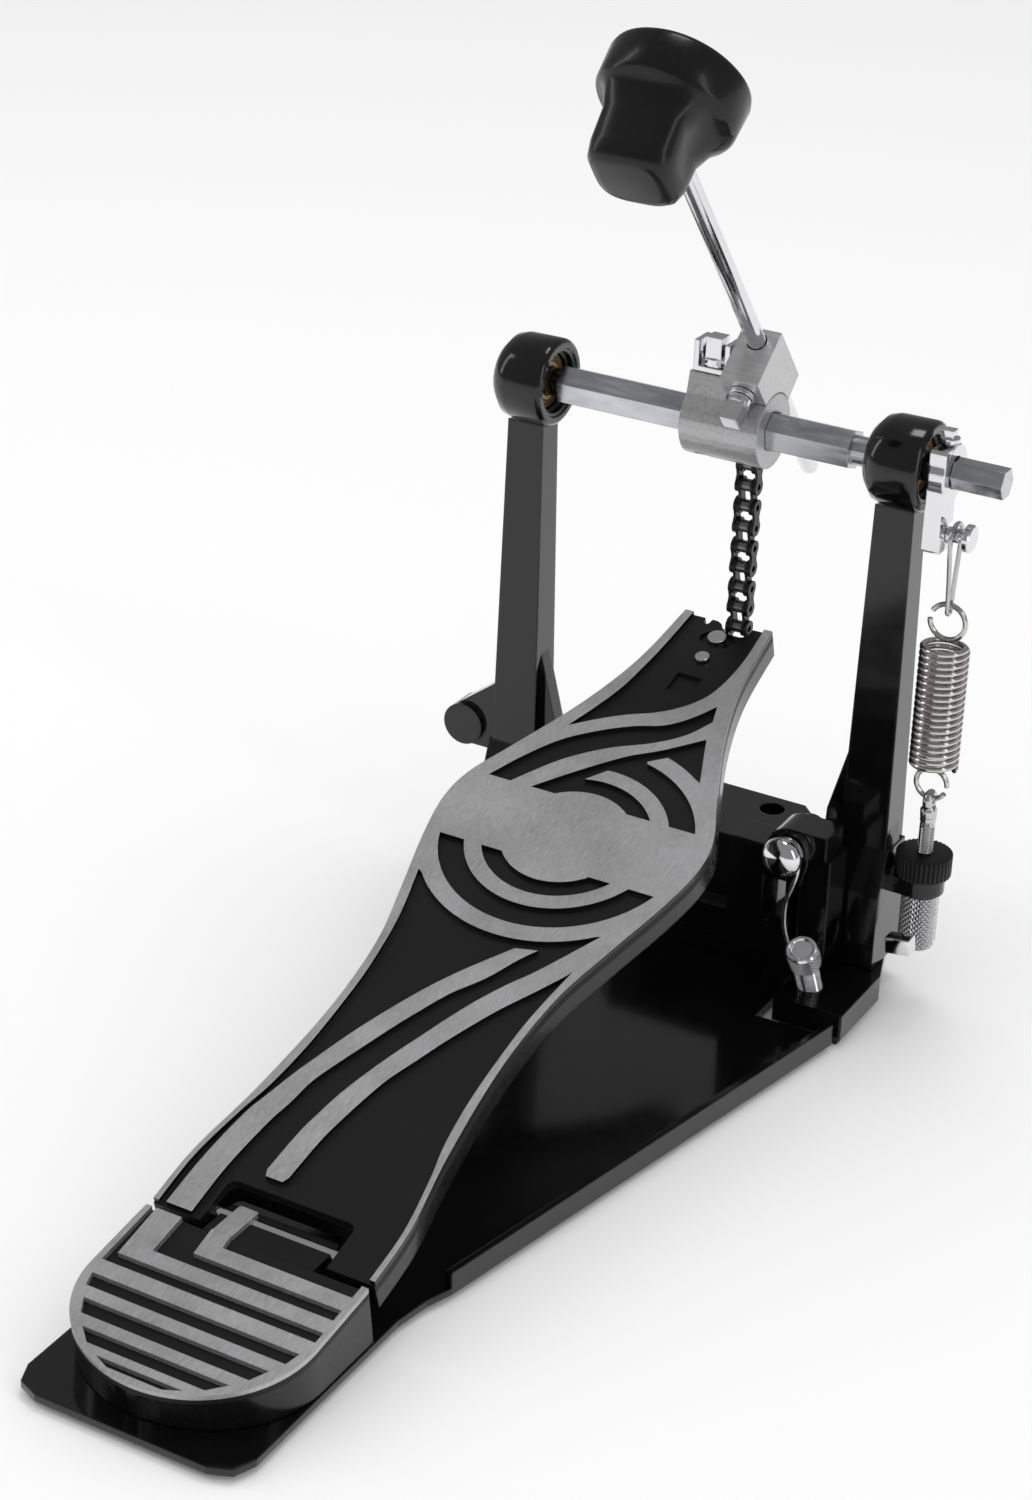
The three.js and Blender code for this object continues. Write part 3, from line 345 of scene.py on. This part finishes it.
slab(skirt, [heel_outline, [(x, y - 3) for x, y in ([(36.3, 0)] + heel_round(3) + [(-36.3, 0)])]],
     -30, 0, to_heel, 2)
skirt_top = Vector((0, math.sin(-heel_slope), math.cos(heel_slope)))
for level, facing in ((Vector((0, HEEL_EDGE, BOARD_TOP)) * MM - skirt_top * 3.5 * MM, skirt_top),
                      (Vector((0, 0, 5.0)) * MM, Vector((0, 0, -1)))):
    kept = bmesh.ops.bisect_plane(skirt, geom=skirt.verts[:] + skirt.edges[:] + skirt.faces[:],
                                  plane_co=level, plane_no=facing, clear_outer=True)
    rim_edges = [g for g in kept["geom_cut"] if isinstance(g, bmesh.types.BMEdge)]
    bmesh.ops.triangle_fill(skirt, use_beauty=True, use_dissolve=False, edges=rim_edges)
for face in skirt.faces:
    face.material_index = 2
skirt_mesh = bpy.data.meshes.new("skirt")
skirt.to_mesh(skirt_mesh)
skirt.free()
heel.from_mesh(skirt_mesh)
bpy.data.meshes.remove(skirt_mesh)
piece("heel_casting", heel, (bare_alloy, black_recess, black_side), "base",
      ["heel_plate"], smooth=30)

# --- Chrome and steel bars: axle, clip, screws, bolt, spurs ---------------------------------------
# Turned or rolled steel with bright chrome plate. The hexagonal axle is drawn bar, so its flats
# stay a little dull and grainy.
chrome = finish("bright_chrome", (0.78, 0.78, 0.8), 1, 0.08, peel=0.00001, grain=300, spread=0.03,
                shade=0.04, edge=0.0006)
drawn_steel = finish("drawn_bar_chrome", (0.56, 0.57, 0.6), 1, 0.24, peel=0.00002, grain=500,
                     streak=(0.2, 1, 1), spread=0.1, shade=0.22, edge=0.0005)
for name in ("cam_clip", "clip_key_screw", "beater_key_screw", "beater_key_washer", "rocker_key_screw",
             "chain_screw", "bracket_screw", "chain_bracket", "hinge_pin"):
    wear(name, chrome)
wear("hex_axle", drawn_steel)
black_steel = finish("black_oxide", (0.015, 0.015, 0.015), 0.2, 0.45, grain=700)
for name in ("left_set_screw", "right_set_screw"):
    wear(name, black_steel)

# --- Cam hub and beater block -----------------------------------------------------------------------
# The hub is a rough aluminium casting. The block that grips the rod is sawn and brushed, so that
# its faces carry fine lines.
cast_alloy = finish("cast_alloy", (0.5, 0.5, 0.51), 0.85, 0.4, peel=0.0002, grain=900, spread=0.1,
                    shade=0.2, edge=0.0012)
brushed_block = finish("brushed_block", (0.58, 0.58, 0.59), 0.9, 0.34, peel=0.00004, grain=700,
                       streak=(0.15, 1.2, 1.2), spread=0.1, shade=0.16, edge=0.0005)
wear("cam_hub", cast_alloy)
wear("beater_block", brushed_block)

# --- Bearing housings -----------------------------------------------------------------------------
# Round drums of the posts' own casting, chamfered at the inner end and open at the other, where
# the ball bearing sits in its brass-coloured cage.
AXLE_Y, AXLE_Z, HALF_SPAN = 274, 198, 70


def turned(shape, profile, place, steps=64, paint=0):
    """Spins a profile of (distance along the axis, radius) about its axis and caps its ends."""
    line = [shape.verts.new((r, 0, along)) for along, r in profile]
    edges = [shape.edges.new(pair) for pair in zip(line, line[1:])]
    spun = bmesh.ops.spin(shape, geom=line + edges, axis=(0, 0, 1), cent=(0, 0, 0),
                          angle=2 * math.pi, steps=steps, use_merge=True)
    made = set(line)
    frontier = list(line)
    while frontier:
        for edge in frontier.pop().link_edges:
            for corner in edge.verts:
                if corner not in made:
                    made.add(corner)
                    frontier.append(corner)
    bmesh.ops.remove_doubles(shape, verts=list(made), dist=1e-5)
    made = {v for v in made if v.is_valid}
    for face in {f for v in made for f in v.link_faces}:
        face.material_index = paint
    bmesh.ops.transform(shape, matrix=place, verts=list(made))


def along_x(x, y, z, flip=False):
    spin = Matrix.Rotation(math.radians(-90 if flip else 90), 4, "Y")
    return Matrix.Scale(MM, 4) @ Matrix.Translation((x, y, z)) @ spin


brass = finish("bearing_brass", (0.22, 0.15, 0.07), 1, 0.3, grain=500)
for label, x in (("left", -HALF_SPAN), ("right", HALF_SPAN)):
    drum = bmesh.new()
    turned(drum, [(-10.25, 6.2), (-10.25, 11), (-7, 14.6), (-3.5, 15.5), (8.6, 15.5), (9.6, 15.1),
                  (10.25, 14.2), (10.25, 12.4), (9.4, 11.8), (9.4, 11), (7.2, 10.6), (7.2, 9.9),
                  (-2, 9.9), (-2, 6.2), (-10.25, 6.2)], along_x(x, AXLE_Y, AXLE_Z))
    piece(label + "_housing_drum", drum, (black_gloss,), "base",
          [label + "_bearing_housing"])
    race = bmesh.new()
    turned(race, [(-0.5, 5.3), (-0.5, 9.6), (6, 9.6), (6, 8.6), (5.4, 8.4), (5.4, 7), (6, 6.8),
                  (6, 5.3), (-0.5, 5.3)], along_x(x, AXLE_Y, AXLE_Z))
    piece(label + "_bearing_ring", race, (brass,), "base", [label + "_bearing"])

# --- Return spring ----------------------------------------------------------------------------------
# One nickel-bright wire wound into twenty close coils, with an open ring at each end. It
# stretches between the rod below and the hook above.
SPRING_X, SPRING_Y = 91, 272.5
COIL_LOW, COIL_HIGH = 92.4, 137.6
WIRE = 1.0
COIL_RADIUS = 7.6
spring_steel = finish("spring_wire", (0.62, 0.6, 0.58), 1, 0.16, grain=900, streak=(1, 1, 0.3),
                      spread=0.05, shade=0.06)
spring = bmesh.new()
turns, steps_per_turn = 19, 28
wire_ring = bmesh.ops.create_circle(spring, segments=10, radius=WIRE,
                                    matrix=Matrix.Translation((COIL_RADIUS, 0, COIL_LOW))
                                    @ Matrix.Rotation(math.pi / 2, 4, "X"))["verts"]
wire_edges = list({e for v in wire_ring for e in v.link_edges})
bmesh.ops.spin(spring, geom=list(wire_ring) + wire_edges, axis=(0, 0, 1), cent=(0, 0, 0),
               dvec=(0, 0, (COIL_HIGH - COIL_LOW) / (turns * steps_per_turn)),
               angle=2 * math.pi * turns, steps=turns * steps_per_turn, use_merge=False)
for centre, radius, start in ((145.9, 6.3, -150), (85.5, 5.6, 30)):
    place = (Matrix.Translation((0, 0, centre)) @ Matrix.Rotation(math.radians(start), 4, "Y")
             @ Matrix.Translation((radius, 0, 0)))
    end_ring = bmesh.ops.create_circle(spring, segments=10, radius=WIRE * 0.95, matrix=place)["verts"]
    end_edges = list({e for v in end_ring for e in v.link_edges})
    bmesh.ops.spin(spring, geom=list(end_ring) + end_edges, axis=(0, 1, 0), cent=(0, 0, centre),
                   angle=math.radians(330), steps=36, use_merge=False)
open_ends = [e for e in spring.edges if e.is_boundary]
bmesh.ops.holes_fill(spring, edges=open_ends, sides=12)
bmesh.ops.transform(spring, matrix=Matrix.Scale(MM, 4) @ Matrix.Translation((SPRING_X, SPRING_Y, 0)),
                    verts=spring.verts)
piece("return_spring_wire", spring, (spring_steel,), "spring_group", ["return_spring"],
      stretched=("hook_group", (0.091, 0.2725, 0.0915), (0.091, 0.2725, 0.1385)))

# --- Spring adjuster ----------------------------------------------------------------------------------
# A threaded steel rod with an eye, a ribbed black nut above the post's lug and a long
# diamond-knurled nut below it.
steel = finish("plain_steel", (0.6, 0.6, 0.6), 1, 0.2, grain=500, spread=0.08)


def upright(x, y, z=0.0):
    return Matrix.Scale(MM, 4) @ Matrix.Translation((x, y, z))


rod = bmesh.new()
thread = [(28, 2.3)]
for pitch in range(41):
    thread += [(29 + pitch, 2.3), (29.5 + pitch, 2.75)]
turned(rod, [(26, 0.0), (26, 2.3)] + thread + [(71, 2.3), (71.2, 2.8), (74, 2.8), (74, 0.0)],
       upright(SPRING_X, SPRING_Y), steps=28)
eye = bmesh.ops.create_circle(rod, segments=12, radius=1.7 * MM, matrix=Matrix.Translation(
    (SPRING_X * MM, (SPRING_Y + 2.2) * MM, 79.2 * MM)))["verts"]
bmesh.ops.spin(rod, geom=list(eye) + list({e for v in eye for e in v.link_edges}), axis=(1, 0, 0),
               cent=(SPRING_X * MM, SPRING_Y * MM, 79.2 * MM), angle=2 * math.pi, steps=24,
               use_merge=True)
turned(rod, [(73, 0), (73, 2.9), (75.6, 3.0), (77, 2.2), (77, 0)], upright(SPRING_X, SPRING_Y), steps=28)
piece("tension_rod_eye", rod, (steel,), "tension_rod_group", ["tension_rod"])


def ribbed(name, centre, low, high, radius, depth, ribs, material, body, replaced):
    nut = bmesh.new()
    bmesh.ops.create_circle(nut, cap_ends=True, segments=ribs * 4, radius=radius)
    for i, corner in enumerate(sorted(nut.verts, key=lambda v: math.atan2(v.co.y, v.co.x))):
        if i % 4 == 0:
            corner.co *= (radius - depth) / radius
    faces = nut.faces[:]
    top = [g for g in bmesh.ops.extrude_face_region(nut, geom=faces, use_keep_orig=True)["geom"]
           if isinstance(g, bmesh.types.BMVert)]
    bmesh.ops.translate(nut, verts=top, vec=(0, 0, high - low))
    rims = [e for e in nut.edges if abs(e.verts[0].co.z - e.verts[1].co.z) < 1e-6]
    bmesh.ops.bevel(nut, geom=rims, offset=0.5, segments=2, affect="EDGES", profile=0.5, material=-1)
    bmesh.ops.transform(nut, matrix=upright(centre[0], centre[1], low), verts=nut.verts)
    return piece(name, nut, (material,), body, replaced, smooth=25)


ribbed("ribbed_nut", (SPRING_X, SPRING_Y), 50.8, 59.1, 9.85, 0.55, 36, black_recess, "upper_nut_group",
       ["upper_spring_nut"])
knurl = finish("diamond_knurl", (0.7, 0.7, 0.72), 1, 0.16, grain=300, spread=0.04, shade=0.04)


def diamonds(material, centre, axis_turn, count, pitch):
    """Adds crossed grooves round an upright or tilted axis through the centre."""
    tree = material.node_tree
    place = tree.nodes.new("ShaderNodeTexCoord")
    moved = tree.nodes.new("ShaderNodeMapping")
    moved.vector_type = "TEXTURE"
    moved.inputs["Location"].default_value = [c * MM for c in centre]
    moved.inputs["Rotation"].default_value = axis_turn
    tree.links.new(place.outputs["Object"], moved.inputs["Vector"])
    split = tree.nodes.new("ShaderNodeSeparateXYZ")
    tree.links.new(moved.outputs["Vector"], split.inputs[0])

    def step(kind, *values):
        node = tree.nodes.new("ShaderNodeMath")
        node.operation = kind
        for socket, value in zip(node.inputs, values):
            if isinstance(value, (int, float)):
                socket.default_value = value
            else:
                tree.links.new(value, socket)
        return node.outputs[0]

    angle = step("MULTIPLY", step("ARCTAN2", split.outputs["Y"], split.outputs["X"]), count)
    height = step("MULTIPLY", split.outputs["Z"], 2 * math.pi / (pitch * MM))
    left = step("ABSOLUTE", step("SINE", step("MULTIPLY", step("ADD", angle, height), 0.5)))
    right = step("ABSOLUTE", step("SINE", step("MULTIPLY", step("SUBTRACT", angle, height), 0.5)))
    bump = tree.nodes["Bump"]
    bump.inputs["Strength"].default_value = 1.0
    bump.inputs["Distance"].default_value = 0.0006
    tree.links.new(step("MINIMUM", left, right), bump.inputs["Height"])
    return material


long_nut = bmesh.new()
turned(long_nut, [(22.2, 0), (22.2, 5.2), (23, 6.1), (25, 6.1), (25, 6.6), (43.4, 6.6), (43.4, 6.1),
                  (44.2, 5.6), (44.2, 0)], upright(SPRING_X, SPRING_Y))
piece("long_knurled_nut", long_nut, (diamonds(knurl, (SPRING_X, SPRING_Y, 0), (0, 0, 0), 22, 2.0),),
      "lower_nut_group", ["lower_spring_nut"])

# --- Rocker arm, stud and hook -------------------------------------------------------------------------
# A chromed clamp on the axle's end with a bar that hangs down to the stud. A bent steel link
# hangs on the stud and holds the spring's upper ring.
rocker = bmesh.new()
turned(rocker, [(0, 5.6), (0, 9.4), (0.6, 9.8), (5.4, 9.8), (6, 9.4), (6, 5.6), (0, 5.6)],
       along_x(82, AXLE_Y, AXLE_Z))
to_side = Matrix.Scale(MM, 4) @ Matrix.Translation((82, 0, 0)) @ Matrix(((0, 0, 1, 0), (1, 0, 0, 0),
                                                                    (0, 1, 0, 0), (0, 0, 0, 1)))
bar = [(265, 206.5), (266, 207.4), (270.5, 207.3), (268.6, 203), (267.6, 198), (268.6, 193),
       (272, 190), (275.6, 188.8), (275.8, 180.4), (272.5, 180.4), (270, 179), (269.2, 177),
       (270, 175), (272.5, 173.6), (275.8, 173.6), (275.2, 172), (274, 171.6), (266.2, 171.6),
       (265, 172.6)]
slab(rocker, [bar], 0.05, 5.95, to_side)
piece("rocker_clamp", rocker, (chrome,), "axle_group", ["rocker_arm"], smooth=30)
stud = bmesh.new()
turned(stud, [(0.5, 0), (0.5, 2.6), (12.2, 2.6), (12.2, 4.2), (12.7, 4.8), (14.4, 4.8), (15, 4.2),
              (15, 0)], along_x(82, 272.5, 177))
piece("stud_pin", stud, (chrome,), "axle_group", ["rocker_stud"])
link_steel = finish("bent_link_steel", (0.55, 0.55, 0.56), 1, 0.2, grain=400, spread=0.06)
hook = bmesh.new()
hook_path = (arc((272.5, 176.2), 4.9, 0, 180, 12) + [(268.4, 170), (270.0, 160), (271.0, 151)]
             + arc((272.5, 150.4), 1.55, 180, 360, 8) + [(274, 151), (275.0, 160), (276.6, 170)])
section = [(0.85 * math.cos(a * math.pi / 4), 0.85 * math.sin(a * math.pi / 4)) for a in range(8)]
rings = []
count = len(hook_path)
for i, (y, z) in enumerate(hook_path):
    ahead = Vector(hook_path[(i + 1) % count]) - Vector(hook_path[i - 1])
    tangent = Vector((0, ahead.x, ahead.y)).normalized()
    outward = tangent.cross(Vector((1, 0, 0)))
    rings.append(bmesh.ops.create_circle(
        hook, segments=8, radius=0.85, matrix=Matrix.Translation((91, y, z))
        @ Matrix((Vector((1, 0, 0)), outward, tangent)).transposed().to_4x4())["verts"])
for first, second in zip(rings, rings[1:] + rings[:1]):
    loops = list({e for v in first for e in v.link_edges if all(w in first for w in e.verts)})
    loops += list({e for v in second for e in v.link_edges if all(w in second for w in e.verts)})
    bmesh.ops.bridge_loops(hook, edges=loops)
bmesh.ops.transform(hook, matrix=Matrix.Scale(MM, 4), verts=hook.verts)
piece("bent_hook", hook, (link_steel,), "hook_group", ["spring_hook"])

# --- Chain -------------------------------------------------------------------------------------------------
# Roller chain in black steel: waisted plates on pins with round heads, and bright-worn rollers.
CHAIN_X, PITCH, CHAIN_RADIUS, WRAPPED, LINKS = 4.2, 7.7, 22, 3, 15
chain_black = finish("chain_black", (0.03, 0.03, 0.032), 0.75, 0.3, grain=700, spread=0.12, shade=0.3,
                     edge=0.0004)
chain_roller = finish("chain_roller", (0.2, 0.2, 0.21), 0.95, 0.3, grain=500, spread=0.1)
link_angle = 2 * math.asin(PITCH / 2 / CHAIN_RADIUS)
figure = (arc((0, 0), 3, -40, 220, 14)
          + [(-1.75, -PITCH / 2)]
          + [(x, y - PITCH) for x, y in arc((0, 0), 3, 140, 400, 14)]
          + [(1.75, -PITCH / 2)])


def add_link(shape, index):
    wrapped = index < WRAPPED
    angle = (WRAPPED - index) * link_angle
    if wrapped:
        origin = (CHAIN_X, AXLE_Y + CHAIN_RADIUS * math.cos(angle), AXLE_Z + CHAIN_RADIUS * math.sin(angle))
        lean = angle - link_angle / 2
    else:
        origin = (CHAIN_X, AXLE_Y + CHAIN_RADIUS, AXLE_Z - (index - WRAPPED) * PITCH)
        lean = 0
    base = Matrix.Translation(origin) @ Matrix.Rotation(lean, 4, "X")
    outer = index % 2 == 0
    for sign in (-1, 1):
        inside = 3.1 if outer else 1.8
        low, high = (inside, inside + 1) if sign > 0 else (-inside - 1, -inside)
        sideways = Matrix(((0, 0, 1, 0), (1, 0, 0, 0), (0, 1, 0, 0), (0, 0, 0, 1)))
        slab(shape, [figure], low, high, Matrix.Scale(MM, 4) @ base @ sideways, 0)
    for drop in (0, -PITCH):
        across = base @ Matrix.Translation((0, 0, drop)) @ Matrix.Rotation(math.pi / 2, 4, "Y")
        across = Matrix.Scale(MM, 4) @ across
        if outer:
            turned(shape, [(-4.1, 0), (-4.1, 1.2), (4.1, 1.2), (4.1, 0)], across, 12, 1)
        else:
            turned(shape, [(-1.8, 1.5), (-1.8, 2.2), (1.8, 2.2), (1.8, 1.5), (-1.8, 1.5)], across, 16, 1)


for label, body, first, last in (("chain_anchor_link", "axle_group", 0, 1),
                                 ("chain_second_link", "chain_upper", 1, 2),
                                 ("chain_third_link", "chain_middle", 2, 3),
                                 ("chain_strand", "chain_run", 3, LINKS)):
    strand = bmesh.new()
    for index in range(first, last):
        add_link(strand, index)
    piece(label, strand, (chain_black, chain_roller), body,
          ["chain_link_%02d" % (i + 1) for i in range(first, last)])

# --- Beater -----------------------------------------------------------------------------------------------------
# A chromed steel rod and a moulded black head: a round striking cap that runs back into a
# rounded block with a scoop on each side.
LEAN = math.radians(40)
BEATER_X, ROD_OUT, HEAD_UP = 15, 18, 146.7
to_beater = (Matrix.Scale(MM, 4) @ Matrix.Translation((0, AXLE_Y, AXLE_Z))
             @ Matrix.Rotation(LEAN, 4, "X"))
beater_rod = bmesh.new()
turned(beater_rod, [(-56.8, 0), (-56.6, 1.2), (-55.8, 2.3), (-54.4, 3), (-53, 3.25), (149.5, 3.25), (150, 2.8),
                    (150, 0)], to_beater @ Matrix.Translation((BEATER_X, ROD_OUT, 0)), 48)
piece("beater_rod_bar", beater_rod, (chrome,), "beater_rod_group", ["beater_rod"])
moulded = finish("moulded_black", (0.004, 0.004, 0.0045), 0, 0.3, peel=0.00003, grain=500, coat=0.15)
head = bmesh.new()
stations = ((-24.6, 9.5, 8.5, 3.2), (-24.2, 12, 10.6, 3.2), (-22.5, 13.6, 12.2, 3.4), (-18, 14.4, 13.4, 3.6),
            (-8, 15.6, 15.2, 3.6), (-2, 17.6, 17.2, 3.2), (0.6, 19.8, 19.6, 2.6), (1.4, 21.6, 21.6, 2.1),
            (3, 22.8, 22.8, 2), (13.6, 23.2, 23.2, 2), (15, 22.8, 22.8, 2), (15.9, 21.6, 21.6, 2),
            (16, 20, 20, 2))
loops = []
for out, half_x, half_up, power in stations:
    ring_made = bmesh.ops.create_circle(head, segments=64, radius=1)["verts"]
    for corner in ring_made:
        a = math.atan2(corner.co.y, corner.co.x)
        c, s = math.cos(a), math.sin(a)
        corner.co = (math.copysign(abs(c) ** (2 / power), c) * half_x, out,
                     math.copysign(abs(s) ** (2 / power), s) * half_up)
    loops.append(ring_made)
for first, second in zip(loops, loops[1:]):
    rim = list({e for v in first for e in v.link_edges if all(w in first for w in e.verts)})
    rim += list({e for v in second for e in v.link_edges if all(w in second for w in e.verts)})
    bmesh.ops.bridge_loops(head, edges=rim)
bmesh.ops.holes_fill(head, edges=[e for e in head.edges if e.is_boundary], sides=80)
for corner in head.verts:
    if abs(corner.co.x) > 8 and -18 < corner.co.y < 1:
        depth = 5.2 * max(0, 1 - abs(corner.co.y + 6) / 11) * max(0, 1 - abs(corner.co.z + 2) / 17)
        corner.co.x -= math.copysign(depth, corner.co.x)
bmesh.ops.transform(head, matrix=to_beater @ Matrix.Translation((BEATER_X, ROD_OUT, HEAD_UP)), verts=head.verts)
piece("beater_head_moulding", head, (moulded,), "beater_head_group", ["beater_head"], smooth=40)

# --- Clamp screw, its spring and the clamp bolt --------------------------------------------------------------------
# A dome-headed pivot screw with a torsion spring round it, and a square-headed bolt that is
# screwed through the jaw's tail.
pivot = bmesh.new()
turned(pivot, [(-22.5, 0), (-22.5, 3), (0, 3), (0, 7.2), (0.8, 7.3), (2.6, 6.6), (4, 5.2), (5, 3.2), (5.4, 0)],
       Matrix.Scale(MM, 4) @ Matrix.Translation((52, 240.3, 60)) @ Matrix.Rotation(math.pi / 2, 4, "X"))
piece("pivot_screw", pivot, (chrome,), "base", ["clamp_pivot_screw"])
torsion = bmesh.new()
wire = bmesh.ops.create_circle(torsion, segments=10, radius=0.85, matrix=Matrix.Translation((5.3, 0, 0))
                               @ Matrix.Rotation(math.pi / 2, 4, "X"))["verts"]
bmesh.ops.spin(torsion, geom=list(wire) + list({e for v in wire for e in v.link_edges}), axis=(0, 0, 1),
               cent=(0, 0, 0), dvec=(0, 0, 2.6 / 60), angle=2 * math.pi * 2.2, steps=60, use_merge=False)
bmesh.ops.transform(torsion, matrix=Matrix.Translation((52, 244, 60)) @ Matrix.Rotation(math.pi / 2, 4, "X"),
                    verts=torsion.verts)
leg_line = through([(57.3, 60.5), (57.2, 54), (55, 46), (53.7, 40), (54, 32), (56.2, 25.5)], 4)
leg_rings = []
for i, (x, z) in enumerate(leg_line):
    ahead = Vector(leg_line[min(i + 1, len(leg_line) - 1)]) - Vector(leg_line[max(i - 1, 0)])
    tangent = Vector((ahead.x, 0, ahead.y)).normalized()
    outward = tangent.cross(Vector((0, 1, 0)))
    leg_rings.append(bmesh.ops.create_circle(torsion, segments=10, radius=0.85, matrix=Matrix.Translation((x, 242, z))
                     @ Matrix((Vector((0, 1, 0)), outward, tangent)).transposed().to_4x4())["verts"])
for first, second in zip(leg_rings, leg_rings[1:]):
    loops = list({e for v in first for e in v.link_edges if all(w in first for w in e.verts)})
    loops += list({e for v in second for e in v.link_edges if all(w in second for w in e.verts)})
    bmesh.ops.bridge_loops(torsion, edges=loops)
bmesh.ops.holes_fill(torsion, edges=[e for e in torsion.edges if e.is_boundary], sides=12)
bmesh.ops.transform(torsion, matrix=Matrix.Scale(MM, 4), verts=torsion.verts)
piece("torsion_spring_wire", torsion, (chrome,), "base", ["clamp_torsion_spring"])

bolt_place = (Matrix.Scale(MM, 4) @ Matrix.Translation((57, 251.8, 28)) @ Matrix.Rotation(math.radians(-8), 4, "Y")
              @ Matrix.Rotation(math.pi / 2, 4, "Y"))
bolt = bmesh.new()
bolt_thread = [(-1.8, 0), (-1.8, 3.9)]
for pitch in range(26):
    bolt_thread += [(-1.0 + pitch * 1.25, 4.6), (-0.4 + pitch * 1.25, 4.0)]
turned(bolt, bolt_thread + [(31.4, 4.0), (31.4, 3.8), (33, 3.6), (33, 0)], bolt_place, 32)
square = bmesh.ops.create_cube(bolt, size=1)["verts"]
bmesh.ops.scale(bolt, verts=square, vec=(6, 6, 9.2))
bmesh.ops.bevel(bolt, geom=list({e for v in square for e in v.link_edges}), offset=0.6, segments=2,
                affect="EDGES", profile=0.5, material=-1)
head_faces = [v for v in bolt.verts if abs(v.co.x) > 0.2 or abs(v.co.y) > 0.2 or abs(v.co.z) > 0.2]
bmesh.ops.transform(bolt, matrix=bolt_place @ Matrix.Translation((0, 0, 36.6)), verts=head_faces)
piece("clamp_bolt_bar", bolt, (chrome,), "clamp_bolt_group", ["clamp_bolt"])

# --- Spurs ----------------------------------------------------------------------------------------------------------
# Pointed steel screws with knurled heads, which run down and forward through the feet.
for label, x in (("left", -66), ("right", 66)):
    spur = bmesh.new()
    spur_place = (Matrix.Scale(MM, 4) @ Matrix.Translation((x, 246, 2.6))
                  @ Matrix.Rotation(math.radians(27), 4, "X"))
    spur_thread = []
    for pitch in range(16):
        spur_thread += [(3.6 + pitch * 1.3, 4.4), (4.2 + pitch * 1.3, 3.8)]
    turned(spur, [(0, 0), (3.2, 3.7)] + spur_thread + [(25.5, 3.8), (25.5, 5.6), (26, 5.8), (33.2, 5.8),
                  (34, 5.2), (34, 4.2), (33.4, 3.8), (33.4, 0)], spur_place, 40)
    spur_knurl = diamonds(finish(label + "_spur_knurl", (0.7, 0.7, 0.72), 1, 0.18, grain=300),
                          (x, 246, 2.6), (math.radians(27), 0, 0), 20, 1.6)
    for face in spur.faces:
        local = spur_place.inverted() @ face.calc_center_median()
        face.material_index = 1 if 25.9 < local.z < 33.3 and math.hypot(local.x, local.y) > 5.6 else 0
    piece(label + "_spur_screw", spur, (chrome, spur_knurl), label + "_spur_group", [label + "_spur"])

# --- Studio ---------------------------------------------------------------------------------------------------------
# A white floor with soft shadow, a large lamp overhead and softer ones to each side.
floor_mesh = bpy.data.meshes.new("floor")
floor_shape = bmesh.new()
bmesh.ops.create_grid(floor_shape, x_segments=1, y_segments=1, size=6)
floor_shape.to_mesh(floor_mesh)
floor_shape.free()
floor = bpy.data.objects.new("floor", floor_mesh)
bpy.context.collection.objects.link(floor)
paper = bpy.data.materials.new("white_paper")
paper.use_nodes = True
paper.node_tree.nodes["Principled BSDF"].inputs["Base Color"].default_value = (0.93, 0.93, 0.93, 1)
paper.node_tree.nodes["Principled BSDF"].inputs["Roughness"].default_value = 0.9
paper.node_tree.nodes["Principled BSDF"].inputs["Specular IOR Level"].default_value = 0
floor_mesh.materials.append(paper)


def lamp(name, place, aim, size, power):
    data = bpy.data.lights.new(name, "AREA")
    data.shape = "RECTANGLE"
    data.size, data.size_y = size
    data.energy = power
    made = bpy.data.objects.new(name, data)
    made.location = place
    made.rotation_euler = (Vector(place) - Vector(aim)).to_track_quat("Z", "Y").to_euler()
    bpy.context.collection.objects.link(made)


lamp("overhead", (0.0, 0.5, 1.7), (0, 0.15, 0.1), (0.5, 0.5), 4.5)
lamp("left_side", (-1.4, -0.3, 0.9), (0, 0.15, 0.15), (0.25, 1.3), 3)
lamp("right_side", (1.5, -0.2, 0.7), (0, 0.15, 0.15), (0.25, 1.2), 2.5)
world = bpy.data.worlds.new("studio")
world.use_nodes = True
bpy.context.scene.world = world
tree = world.node_tree
surround = tree.nodes["Background"]
surround.inputs["Color"].default_value = (1, 1, 1, 1)
paths = tree.nodes.new("ShaderNodeLightPath")
seen = tree.nodes.new("ShaderNodeMapRange")
seen.inputs["To Min"].default_value = 0.86
seen.inputs["To Max"].default_value = 1.0
tree.links.new(paths.outputs["Is Camera Ray"], seen.inputs["Value"])
mirrored = tree.nodes.new("ShaderNodeMath")
mirrored.operation = "MULTIPLY_ADD"
mirrored.inputs[1].default_value = -0.6
tree.links.new(paths.outputs["Is Glossy Ray"], mirrored.inputs[0])
tree.links.new(seen.outputs["Result"], mirrored.inputs[2])
tree.links.new(mirrored.outputs[0], surround.inputs["Strength"])
bpy.context.scene.view_settings.view_transform = "Standard"
